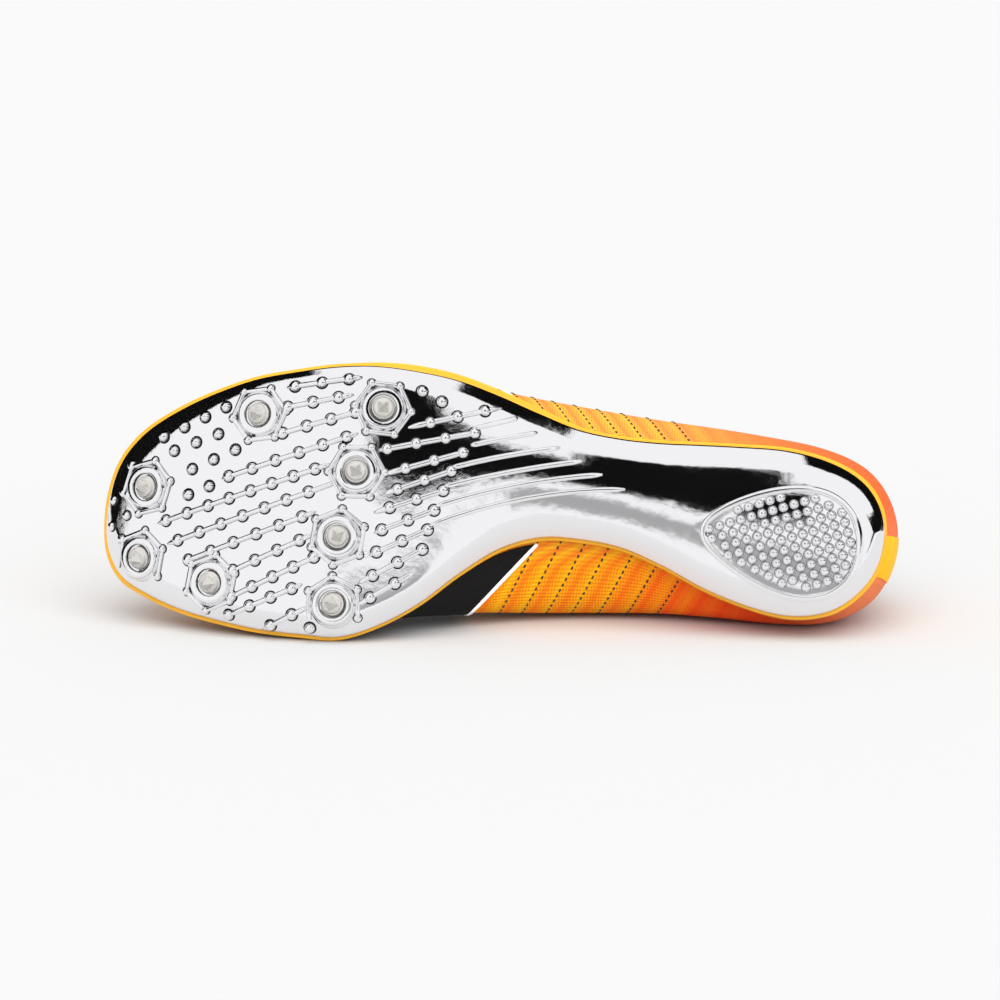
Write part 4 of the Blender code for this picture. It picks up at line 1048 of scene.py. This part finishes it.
class BuildPlate(bpy.types.Operator):
    """Build the dished sprint plate with its bevelled edge"""

    bl_idname = "spike_shoe.build_plate"
    bl_label = "Sprint Plate"

    def execute(self, context):
        def low(x, y):
            inside = ease(pad_depth(x, y) / 0.25)
            return underside_height(x, y) + 0.0003 * inside

        stations = [station_of(math.pi * k / 260) for k in range(261)]
        lanes = [math.sin(math.pi / 2 * (-1 + 2 * k / 76)) for k in range(77)]
        form = Form()
        sole_solid(form, 0.0, low, lambda x, y: underside_height(x, y) + PLATE_WALL, stations, lanes, 0.0005)
        form.piece("sprint_plate", [chrome()], "spike_plate", "chrome_plating", sharp=80)
        return {"FINISHED"}


class BuildWells(bpy.types.Operator):
    """Build the round wells of the spikes and the six-sided ridges round them"""

    bl_idname = "spike_shoe.build_wells"
    bl_label = "Spike Wells"

    def execute(self, context):
        top, well = BOSS_HEIGHT, WELL_RADIUS
        profile = (
            (0.0083, -0.0008), (0.0080, 0.0002), (0.0075, 0.0006), (0.0072, 0.0011), (0.00705, top - 0.0004),
            (0.00685, top - 0.00012), (BOSS_FACE_RADIUS, top),
            (well + 0.00035, top), (well + 0.0001, top - 0.00008),
            (well, top - 0.0003), (well, 0.00035), (well - 0.0003, 0.0002), (0.0010, 0.0002),
        )
        shape = turned(profile, 48)
        wells, ridges = Form(), Form()
        stud = stud_shape(0.0026, 0.0016, 10)
        for place, _ in spike_places():
            wells.add(*placed(shape, place))
            corners = []
            for k in range(6):
                turn = math.radians(60 * k + 12)
                corners.append(place @ Vector((0.0096 * math.cos(turn), 0.0096 * math.sin(turn), 0.0)))
            for k, first in enumerate(corners):
                second = corners[(k + 1) % 6]
                ends = [(p.x / LENGTH, p.y / BALL_BREADTH) for p in (first, second)]
                if not all(on_plate(*end, 0.0016) for end in ends):
                    continue
                path, ups = sole_path(ends, 6)
                add_ridge(ridges, path, ups, ridge_section(0.0017, 0.0011))
                add_stud(ridges, stud, 10, sole_spot(*ends[0]))
        wells.piece("spike_wells", [chrome()], None, "chrome_plating", sharp=50)
        ridges.piece("well_ridges", [chrome()], None, "chrome_plating", sharp=70)
        return {"FINISHED"}


def on_plate(station, share, margin):
    """Whether a place lies on the plate, that far in from its edge."""
    at = sole_station(station * LENGTH)
    if not 0.004 < at < 0.996:
        return False
    inner, outer = sole_edges(at)
    return inner + margin < share * BALL_BREADTH < outer - margin


def stud_shape(breadth, height, sides=14):
    """A round stud: a flared foot, a steep flank and a dome."""
    radius = breadth / 2
    profile = [
        (radius * 1.42, -0.0006), (radius * 1.38, 0.0), (radius * 1.12, height * 0.13), (radius * 1.02, height * 0.34),
    ]
    for k in range(1, 6):
        turn = math.pi / 2 * k / 5.4
        profile.append((radius * math.cos(turn), height * (0.42 + 0.58 * math.sin(turn))))
    return turned(profile, sides)


def painted_foot_shade(points, rings, width):
    """Where the painted shade lies, 1 at each dark point: round the foot of a turned form, or along both feet of a
    ridge.
    """
    feet = (0, 1, 2, width - 1)
    foot_shaded = [k // width < rings if rings else k % width in feet for k in range(len(points))]
    return [(float(value), 0.0, 0.0) for value in foot_shaded]


# rings: how many rings up from the stud's foot carry the painted shade
def add_stud(form, shape, sides, spot, rings=3):
    points, faces = placed(shape, aligned(underside_normal(spot.x, spot.y), spot))
    form.add(points, faces, 0, painted_foot_shade(points, rings, sides))


def add_ridge(form, path, ups, section, ends=None):
    points, faces = sweep(path, ups, section, ends=ends)
    form.add(points, faces, 0, painted_foot_shade(points, 0, len(section)))


class BuildTread(bpy.types.Operator):
    """Build the rows of studs with the bars between them, and the pointed studs of the toe"""

    bl_idname = "spike_shoe.build_tread"
    bl_label = "Tread"

    def execute(self, context):
        made = sizes()
        studs, bars = Form(), Form()
        stud = stud_shape(made.stud_breadth, made.stud_height)
        for station, share, end_station, end_share, count, before, after in ROWS:
            step = ((end_station - station) / max(count - 1, 1), (end_share - share) / max(count - 1, 1))
            for k in range(count):
                add_stud(studs, stud, 14, sole_spot(station + step[0] * k, share + step[1] * k))
            if count > 1 and before + after > 0:
                ends = [(station - step[0] * before, share - step[1] * before),
                        (end_station + step[0] * after, end_share + step[1] * after)]
                path, ups = sole_path(ends, 6 * count)
                add_ridge(bars, path, ups, ridge_section(made.bar_breadth, made.bar_height), RIDGE_ENDS)
        cone = turned(
            ((0.0024, -0.0006), (0.0023, 0.0001), (0.0020, 0.0005), (0.0014, 0.0014), (0.0007, 0.0022),
             (0.0002, 0.0024)), 16,
        )
        for station, share, end_station, end_share, count in CONE_ARCS:
            for k in range(count):
                t = k / (count - 1)
                spot = sole_spot(station + (end_station - station) * t, share + (end_share - share) * t)
                add_stud(studs, cone, 16, spot)
        small = stud_shape(made.stud_breadth * 0.85, made.stud_height * 0.8)
        for place in EDGE_STUDS:
            add_stud(studs, small, 14, sole_spot(*place))
        studs.piece("tread_studs", [chrome()], None, "chrome_plating", sharp=70)
        bars.piece("tread_bars", [chrome()], None, "chrome_plating", sharp=70)
        return {"FINISHED"}


class BuildRibs(bpy.types.Operator):
    """Build the six long ribs that run out of the tread to the shank"""

    bl_idname = "spike_shoe.build_ribs"
    bl_label = "Shank Ribs"

    def execute(self, context):
        form = Form()
        for start, middle, end in RIBS:
            places = []
            for k in range(9):
                t = k / 8
                a, b, c = (1 - t) * (1 - 2 * t), 4 * t * (1 - t), t * (2 * t - 1)
                places.append(tuple(u * a + v * b + w * c for u, v, w in zip(start, middle, end)))
            path, ups = sole_path(places, 4)
            section = ridge_section(RIB_BREADTH, RIB_HEIGHT, steps=8)
            form.add(*sweep(path, ups, section, ends={0: 0.4, 1: 0.8}))
        form.piece("shank_ribs", [chrome()], None, "chrome_plating", sharp=70)
        return {"FINISHED"}


class BuildHeelPad(bpy.types.Operator):
    """Build the heel pad: a raised rim round a field of small studs"""

    bl_idname = "spike_shoe.build_heel_pad"
    bl_label = "Heel Pad"

    def execute(self, context):
        form = Form()
        path, ups = [], []
        for k in range(96):
            flat = pad_point(2 * math.pi * k / 96, RIM_BREADTH / 2)
            path.append(Vector((*flat, underside_height(*flat))))
            ups.append(underside_normal(*flat))
        section = ridge_section(RIM_BREADTH, RIM_HEIGHT, steps=10, fullness=3.0)
        form.add(*sweep(path, ups, section, closed=True))
        form.piece("heel_pad_rim", [chrome()], None, "chrome_plating", sharp=70)
        studs = Form()
        step = sizes().pad_step
        stud = stud_shape(0.0026, 0.0011, 12)
        first = Vector((-math.cos(math.radians(15)), math.sin(math.radians(15))))
        second = Vector((-math.cos(math.radians(75)), -math.sin(math.radians(75))))
        centre = pad_centre()
        for a in range(-12, 13):
            for b in range(-12, 13):
                flat = centre + first * (step * a) + second * (step * 0.94 * b)
                if pad_depth(*flat) * PAD_BREADTH / 2 < RIM_BREADTH + 0.0013:
                    continue
                add_stud(studs, stud, 12, Vector((*flat, underside_height(*flat) + 0.0003)), 2)
        studs.piece("heel_pad_studs", [chrome()], None, "chrome_plating", sharp=70)
        return {"FINISHED"}


class BuildSpikes(bpy.types.Operator):
    """Build the eight frosted spikes: a round body with a four-sided point"""

    bl_idname = "spike_shoe.build_spikes"
    bl_label = "Spikes"

    def execute(self, context):
        material = frosted_nylon(colours().spikes)
        foot, body = SPIKE_FOOT_RADIUS, SPIKE_RADIUS
        round_part = turned(
            ((foot - 0.0003, 0.0), (foot, 0.0002), (foot, SPIKE_FOOT - 0.0002), (foot - 0.0002, SPIKE_FOOT),
             (body + 0.0001, SPIKE_FOOT + 0.0001), (body, SPIKE_FOOT + 0.0003), (body - 0.0002, 0.0019),
             (body - 0.0006, 0.0022), (0.0005, 0.0023)), 36,
        )
        point_part = turned(
            ((0.0028, 0.0019), (0.0024, 0.0027), (0.0016, 0.0040), (0.0009, 0.0052), (0.0004, 0.0061),
             (0.0002, SPIKE_HEIGHT)), 4,
        )
        for number, (_, place) in enumerate(spike_places(), 1):
            form = Form()
            form.add(*placed(round_part, place))
            form.add(*placed(point_part, place @ Matrix.Rotation(math.radians(20 * number), 4, "Z")))
            form.piece(f"frosted_spike_{number}", [material], f"spike_{number}", "frosted_plastic", sharp=30)
        return {"FINISHED"}


class BuildMidsole(bpy.types.Operator):
    """Build the thin foam wedge whose edge is the yellow line round the plate"""

    bl_idname = "spike_shoe.build_midsole"
    bl_label = "Midsole"

    def execute(self, context):
        stations = [station_of(math.pi * k / 160) for k in range(161)]
        lanes = [math.sin(math.pi / 2 * (-1 + 2 * k / 30)) for k in range(31)]
        form = Form()
        sole_solid(
            form, MIDSOLE_PROUD, lambda x, y: underside_height(x, y) + PLATE_WALL + CLEARANCE, midsole_top,
            stations, lanes, 0.0006, midsole_flare,
        )
        form.piece("foam_midsole", [painted_foam(colours().foam)], "midsole", "yellow_foam", sharp=80)
        return {"FINISHED"}


class BuildUpper(bpy.types.Operator):
    """Build the woven upper with its lining and the binding of its opening"""

    bl_idname = "spike_shoe.build_upper"
    bl_label = "Woven Upper"

    def execute(self, context):
        weave = woven_upper_material()
        angles = sorted(
            [math.pi * k / 150 for k in range(151)]
            + [angle_of(THROAT_FRONT - share * THROAT_END_LENGTH)
               for share in (0.0, 0.02, 0.06, 0.15, 0.35, 0.6)]
        )
        rises = [k / 40 for k in range(41)]
        form = Form()
        for side in (-1, 1):
            columns = [[(angle, side, rise) for rise in rises] for angle in angles]
            wall_shell(form, columns, -UPPER_WALL, 0.0, (0, 1, 1))
        form.piece("woven_upper", [weave, textile()], "upper", "orange_weave", sharp=60, halves=True)
        binding = Form()
        back = [angle for angle in angles if station_of(angle) <= THROAT_FRONT]
        walk = [(angle, 1) for angle in back[::-1]] + [(angle, -1) for angle in back[1:]]
        path = [wall_point(angle, side, 1.0, -UPPER_WALL / 2) for angle, side in walk]
        ups = [last_normal(angle, side, 1.0) for angle, side in walk]
        kept = [k for k in range(len(path)) if k == 0 or (path[k] - path[k - 1]).length > 0.0004]
        turns = [math.pi * k / 5 for k in range(10)]
        section = [(0.0011 * math.cos(turn), 0.0013 * math.sin(turn)) for turn in turns]
        binding.add(*sweep([path[k] for k in kept], [ups[k] for k in kept], section, closed=True))
        binding.piece("collar_binding", [textile()], None, "black_textile", sharp=70)
        return {"FINISHED"}


class BuildPanels(bpy.types.Operator):
    """Build the dark films on the forefoot's sides, with the white piping of their back edges"""

    bl_idname = "spike_shoe.build_panels"
    bl_label = "Forefoot Panels"

    def execute(self, context):
        black = film("black_film", colours().film, 0.65)
        white = film("white_piping", colours().piping, 0.4)
        for side, name, back in ((-1, "inner", PANEL_BACK_INNER), (1, "outer", PANEL_BACK_OUTER)):
            start = line_start(back * LENGTH, side, PANEL_LEAN)
            rises = [0.02 + 0.64 * k / 26 for k in range(27)]
            columns = []
            for k in range(61):
                column = []
                for rise in rises:
                    first = leaning_angle(side, rise, start, PANEL_LEAN)
                    column.append((first + (angle_of(PANEL_FRONT) - first) * k / 60, side, rise))
                columns.append(column)
            form = Form()
            wall_shell(form, columns, CLEARANCE / 3, FILM_RISE)
            form.piece(f"film_panel_{name}", [black], f"forefoot_panel_{name}", "black_film", sharp=50)
            piping = Form()
            spots = [columns[0][j] for j in range(len(rises))]
            path = [wall_point(*spot, FILM_RISE * 0.9) for spot in spots]
            ups = [last_normal(*spot) for spot in spots]
            piping.add(*sweep(path, ups, flat_section(0.0013, 0.0008)))
            piping.piece(f"white_piping_{name}", [white], None, "black_film", sharp=60)
        return {"FINISHED"}


class BuildHeelStrip(bpy.types.Operator):
    """Build the plain strip up the back of the heel"""

    bl_idname = "spike_shoe.build_heel_strip"
    bl_label = "Heel Strip"

    def execute(self, context):
        first, last = (HEEL_STRIP_STEP * end for end in HEEL_STRIP_SPAN)
        angles = [first + (last - first) * k / 12 for k in range(13)]
        rises = [0.02 + 0.92 * k / 30 for k in range(31)]
        form = Form()
        columns = [[(angle, -1, rise) for rise in rises] for angle in angles]
        wall_shell(form, columns, CLEARANCE / 3, FILM_RISE * 0.7)
        yellow = film("yellow_film", colours().strip, 0.42)
        form.piece("yellow_heel_strip", [yellow], "heel_strip", "yellow_film", sharp=50)
        return {"FINISHED"}


class BuildStitches(bpy.types.Operator):
    """Build the dashed lines of dark stitches across the weave"""

    bl_idname = "spike_shoe.build_stitches"
    bl_label = "Stitches"

    def execute(self, context):
        made = sizes()
        form = Form()
        turns = [math.pi * k / 3 for k in range(6)]
        section = [(0.00034 * math.cos(turn), 0.00024 * math.sin(turn)) for turn in turns]
        for side, foot, step, count in STITCH_LINES:
            for number in range(count):
                start = line_start(foot + step * number, side, STITCH_LEAN)
                line = []
                for k in range(121):
                    rise = 0.01 + 0.80 * k / 120
                    line.append((leaning_angle(side, rise, start, STITCH_LEAN), side, rise))
                spots = [last_point(*spot) for spot in line]
                gaps = [(b - a).length for a, b in zip(spots, spots[1:])]
                lengths = np.concatenate([[0.0], np.cumsum(gaps)])
                pitch = made.stitch_length + made.stitch_gap
                for dash in range(int(lengths[-1] / pitch)):
                    path, ups = [], []
                    for share in (0.0, 0.3, 0.7, 1.0):
                        at = dash * pitch + made.stitch_length * share
                        rise = float(np.interp(at, lengths, [spot[2] for spot in line]))
                        angle = float(np.interp(at, lengths, [spot[0] for spot in line]))
                        sunk = -0.00008 if share in (0.0, 1.0) else 0.00012
                        path.append(wall_point(angle, side, rise, sunk))
                        ups.append(last_normal(angle, side, rise))
                    form.add(*sweep(path, ups, section, ends={0: 0.6}))
        thread = knit_textile("black_thread", colours().thread, 0.0003)
        form.piece("stitches", [thread], None, "black_textile", sharp=70)
        return {"FINISHED"}


def eyelet_places():
    """(row, side, station, rise) of each eyelet, from the top row to the front."""
    for row in range(EYELET_ROWS):
        station = EYELET_FIRST + (EYELET_LAST - EYELET_FIRST) * row / (EYELET_ROWS - 1)
        angle = angle_of(station)
        for side in (-1, 1):
            edge = last_point(angle, side, 1.0)
            near = last_point(angle, side, 0.9)
            yield row, side, station, 1 - 0.1 * EYELET_EDGE / (near - edge).length


class BuildEyestay(bpy.types.Operator):
    """Build the facing round the throat and its punched eyelets"""

    bl_idname = "spike_shoe.build_eyestay"
    bl_label = "Eyestay"

    def execute(self, context):
        form = Form()
        angles = even_angles(THROAT_TOP, THROAT_FRONT, 70)
        angles += even_angles(THROAT_FRONT, THROAT_FRONT + EYESTAY_FRONT, 14)[1:]
        rises = [0.76 + 0.24 * k / 14 for k in range(15)]
        for side in (-1, 1):
            columns = [[(angle, side, rise) for rise in rises] for angle in angles]
            wall_shell(form, columns, CLEARANCE / 3, CLEARANCE + OVERLAY_WALL)
        facing = film("facing_film", colours().film, 0.5)
        form.piece("throat_facing", [facing], "eyestay", "black_film", sharp=50, halves=True)
        rings = Form()
        ring = turned(
            ((EYELET_RADIUS + 0.0008, 0.0), (EYELET_RADIUS + 0.0007, 0.00025), (EYELET_RADIUS + 0.0003, 0.0004),
             (EYELET_RADIUS, 0.0003), (EYELET_RADIUS - 0.0002, 0.00005), (0.0004, 0.00005)), 20,
        )
        for _, side, station, rise in eyelet_places():
            angle = angle_of(station)
            spot = wall_point(angle, side, rise, CLEARANCE + OVERLAY_WALL)
            rings.add(*placed(ring, aligned(last_normal(angle, side, rise), spot)))
        rings.piece("eyelet_rings", [textile()], None, "black_textile", sharp=50)
        return {"FINISHED"}


class BuildLaces(bpy.types.Operator):
    """Build the flat laces that cross the throat"""

    bl_idname = "spike_shoe.build_laces"
    bl_label = "Laces"

    def execute(self, context):
        low = 2 * CLEARANCE + OVERLAY_WALL + LACE_WALL / 2
        places = {(row, side): (station, rise) for row, side, station, rise in eyelet_places()}
        bars = [((EYELET_ROWS - 1, -1), (EYELET_ROWS - 1, 1), 0)]
        for row in range(EYELET_ROWS - 1):
            bars += [((row + 1, -1), (row, 1), 1), ((row + 1, 1), (row, -1), 2)]
        form = Form()
        for first, second, step in bars:
            (start, start_rise), (finish, finish_rise) = places[first], places[second]
            beyond = 1 + (0.5 - 0.12 * step) * LACE_BREADTH / EYELET_EDGE
            walk = [(first[1], 1 - (1 - start_rise) * beyond * (1 - k / 8)) for k in range(8)]
            walk += [(0, k / 16) for k in range(17)]
            walk += [(second[1], 1 - (1 - finish_rise) * beyond * k / 8) for k in range(1, 9)]
            path = []
            out = low + 0.30 * step * LACE_WALL
            for k, (side, at) in enumerate(walk):
                angle = angle_of(start + (finish - start) * k / (len(walk) - 1))
                if side:
                    path.append(wall_point(angle, side, at, out))
                else:
                    edges = [wall_point(angle, one, 1.0, out) for one in (first[1], second[1])]
                    path.append(edges[0].lerp(edges[1], at) + Vector((0, 0, LACE_ARCH * 4 * at * (1 - at))))
            middle = [(a + b * 2 + c) / 4 for a, b, c in zip(path, path[1:], path[2:])]
            path = [path[0]] + middle + [path[-1]]
            ups = []
            for before, after in zip(path[:1] + path[:-1], path[1:] + path[-1:]):
                up = (after - before).cross(Vector((1, 0, 0)))
                ups.append(up.normalized() * math.copysign(1, up.z))
            form.add(*sweep(path, ups, flat_section(LACE_BREADTH * (1 - 0.08 * step), LACE_WALL)))
        braid = knit_textile("lace_braid", colours().textile, 0.0006)
        form.piece("flat_laces", [braid], "lace", "black_textile", sharp=70)
        return {"FINISHED"}


def softened(name, node, voxel, material):
    """A copy of a CAD solid with its edges rounded as sewn cloth rounds them."""
    source = frame["nodes"][node]
    obj = bpy.data.objects.new(name, source.data.copy())
    obj.data.materials.clear()
    bpy.context.scene.collection.objects.link(obj)
    remesh = obj.modifiers.new("remesh", "REMESH")
    remesh.mode = "VOXEL"
    remesh.voxel_size = voxel
    smooth = obj.modifiers.new("smooth", "SMOOTH")
    smooth.factor = 0.5
    smooth.iterations = 6
    graph = bpy.context.evaluated_depsgraph_get()
    mesh = bpy.data.meshes.new_from_object(obj.evaluated_get(graph))
    obj.modifiers.clear()
    obj.data = mesh
    mesh.name = name
    mesh.materials.clear()
    mesh.materials.append(material)
    mesh.shade_smooth()
    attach(obj, "root")
    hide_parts(node)
    return obj


class BuildTongue(bpy.types.Operator):
    """Build the tongue"""

    bl_idname = "spike_shoe.build_tongue"
    bl_label = "Tongue"

    def execute(self, context):
        softened("soft_tongue", "tongue", 0.0007, textile())
        return {"FINISHED"}


class BuildSockLiner(bpy.types.Operator):
    """Build the sock liner inside the shoe"""

    bl_idname = "spike_shoe.build_sock_liner"
    bl_label = "Sock Liner"

    def execute(self, context):
        softened("sock_liner", "insole", 0.0008, textile())
        return {"FINISHED"}


# What the camera looks at, and the breadth that it sees there
SHOE_MIDDLE = (0.0, -0.0489, 0.0513)
VIEW_BREADTH = 0.336

# Black flags round the table: before the waist and the ball, to the left and the right, above and behind
FLAGS = (
    ("waist_flag", ((-0.04, -0.30, 0.15), (0.025, -0.30, 0.14), (0.03, -0.30, 0.195), (0.065, -0.30, 0.215),
                    (0.075, -0.30, 0.25), (0.03, -0.30, 0.29), (-0.02, -0.30, 0.29), (-0.04, -0.30, 0.24))),
    ("ball_flag", ((-0.05, -0.31, 0.165), (0.02, -0.31, 0.15), (0.12, -0.31, 0.15), (0.12, -0.31, 0.222),
                   (0.06, -0.31, 0.23), (-0.05, -0.31, 0.215))),
    ("left_flag", ((-0.60, -0.24, 0.03), (-0.60, 1.5, 0.03), (-0.60, 1.5, 1.2), (-0.60, 0.0, 1.2),
                   (-0.60, -0.15, 0.50))),
    ("left_ceiling", ((-0.20, -0.05, 0.50), (-0.20, 1.5, 0.50), (-2.0, 1.5, 0.50), (-2.0, 0.30, 0.50),
                      (-0.90, 0.12, 0.50))),
    ("right_ceiling", ((0.20, -0.12, 0.50), (0.40, -0.12, 0.50), (0.40, 1.5, 0.50), (0.20, 1.5, 0.50))),
    ("right_link", ((0.36, -0.12, 0.50), (0.40, 0.60, 0.50), (0.80, 0.60, 0.30), (0.80, -0.05, 0.30))),
    ("right_flag", ((0.36, -0.50, 0.13), (0.80, 0.20, 0.12), (0.80, 0.20, 0.30), (0.36, -0.50, 0.26))),
    ("back_flag", ((-2.0, 0.6, 0.02), (2.0, 0.6, 0.02), (2.0, 0.6, 1.6), (-2.0, 0.6, 1.6))),
)


class BuildStage(bpy.types.Operator):
    """Build the pale floor, the soft studio light and the camera"""

    bl_idname = "spike_shoe.build_stage"
    bl_label = "Studio"

    def execute(self, context):
        scene = bpy.context.scene
        made = sizes()
        scene.view_settings.view_transform = "Standard"
        floor = bpy.data.meshes.new("studio_floor")
        reach = 8.0
        corners = [(-reach, -reach, 0), (reach, -reach, 0), (reach, reach, 0), (-reach, reach, 0)]
        floor.from_pydata(corners, [], [(0, 1, 2, 3)])
        floor.materials.append(studio_paper(colours().paper))
        ground = bpy.data.objects.new("studio_floor", floor)
        scene.collection.objects.link(ground)
        world = bpy.data.worlds.new("studio_white")
        world.use_nodes = True
        background = world.node_tree.nodes["Background"]
        background.inputs["Color"].default_value = (1, 1, 1, 1)
        background.inputs["Strength"].default_value = 0.79
        scene.world = world
        lamp = bpy.data.lights.new("soft_key", "SUN")
        lamp.angle = math.radians(75)
        lamp.energy = 3.05
        key = bpy.data.objects.new("soft_key", lamp)
        key.rotation_euler = Vector((0.1, -0.75, 1.0)).to_track_quat("Z", "Y").to_euler()
        key.visible_glossy = False
        scene.collection.objects.link(key)
        self.add_flags(scene)
        target = Vector(SHOE_MIDDLE)
        lift = made.camera_elevation
        away = Vector((0, -math.cos(lift), math.sin(lift)))
        lens = bpy.data.cameras.new("photo_camera")
        lens.sensor_width = 36
        lens.lens = lens.sensor_width * made.camera_distance / VIEW_BREADTH
        camera = bpy.data.objects.new("photo_camera", lens)
        camera.location = target + away * made.camera_distance
        camera.rotation_euler = away.to_track_quat("Z", "Y").to_euler()
        scene.collection.objects.link(camera)
        scene.camera = camera
        return {"FINISHED"}

    def add_flags(self, scene):
        """The white walls and black flags round the table, which only reflections see."""
        black, _, _ = new_material(
            "black_flag", {"Base Color": (0.004, 0.004, 0.004, 1), "Roughness": 1.0, "Specular IOR Level": 0.0},
        )
        plan = ((-5, -5), (5, -5), (5, 5), (-5, 5))
        walls = [(x, y, height) for height in (0, 5) for x, y in plan]
        sides = ((0, 1, 5, 4), (1, 2, 6, 5), (2, 3, 7, 6), (3, 0, 4, 7), (4, 5, 6, 7))
        self.add_screen(scene, "lit_walls", walls, sides, lit_card("lit_wall", 1.05))
        card = ((-0.5, -1.6, 0.20), (0.5, -1.6, 0.20), (0.5, -1.6, 0.44), (-0.5, -1.6, 0.44))
        self.add_screen(scene, "camera_side", card, ((0, 1, 2, 3),), lit_card("camera_side", 0.45))
        for name, corners in FLAGS:
            self.add_screen(scene, name, corners, (tuple(range(len(corners))),), black)

    def add_screen(self, scene, name, corners, faces, material):
        mesh = bpy.data.meshes.new(name)
        mesh.from_pydata(corners, [], faces)
        mesh.materials.append(material)
        screen = bpy.data.objects.new(name, mesh)
        for ray in ("camera", "diffuse", "transmission", "volume_scatter", "shadow"):
            setattr(screen, f"visible_{ray}", False)
        scene.collection.objects.link(screen)


BUILDERS = (
    BuildStage, BuildPlate, BuildWells, BuildTread, BuildRibs, BuildHeelPad, BuildSpikes, BuildMidsole, BuildUpper,
    BuildPanels, BuildHeelStrip, BuildStitches, BuildEyestay, BuildTongue, BuildLaces, BuildSockLiner,
)


class SpikeShoePanel(bpy.types.Panel):
    """Sizes, colours and builders of the shoe"""

    bl_label = "Track Spike"
    bl_idname = "VIEW3D_PT_track_spike"
    bl_space_type = "VIEW_3D"
    bl_region_type = "UI"
    bl_category = "Track Spike"

    def draw(self, context):
        for group in (context.scene.shoe_sizes, context.scene.shoe_colours):
            box = self.layout.box()
            for name in group.bl_rna.properties.keys():
                if name not in ("rna_type", "name"):
                    box.prop(group, name)
        for builder in BUILDERS:
            self.layout.operator(builder.bl_idname)


CLASSES = (ShoeSizes, ShoeColours, *BUILDERS, SpikeShoePanel)


def register():
    for made in CLASSES:
        bpy.utils.register_class(made)
    bpy.types.Scene.shoe_sizes = bpy.props.PointerProperty(type=ShoeSizes)
    bpy.types.Scene.shoe_colours = bpy.props.PointerProperty(type=ShoeColours)


def unregister():
    del bpy.types.Scene.shoe_colours
    del bpy.types.Scene.shoe_sizes
    for made in reversed(CLASSES):
        bpy.utils.unregister_class(made)


def main():
    register()
    for builder in BUILDERS:
        group, name = builder.bl_idname.split(".")
        getattr(getattr(bpy.ops, group), name)()


if __name__ == "__main__":
    main()
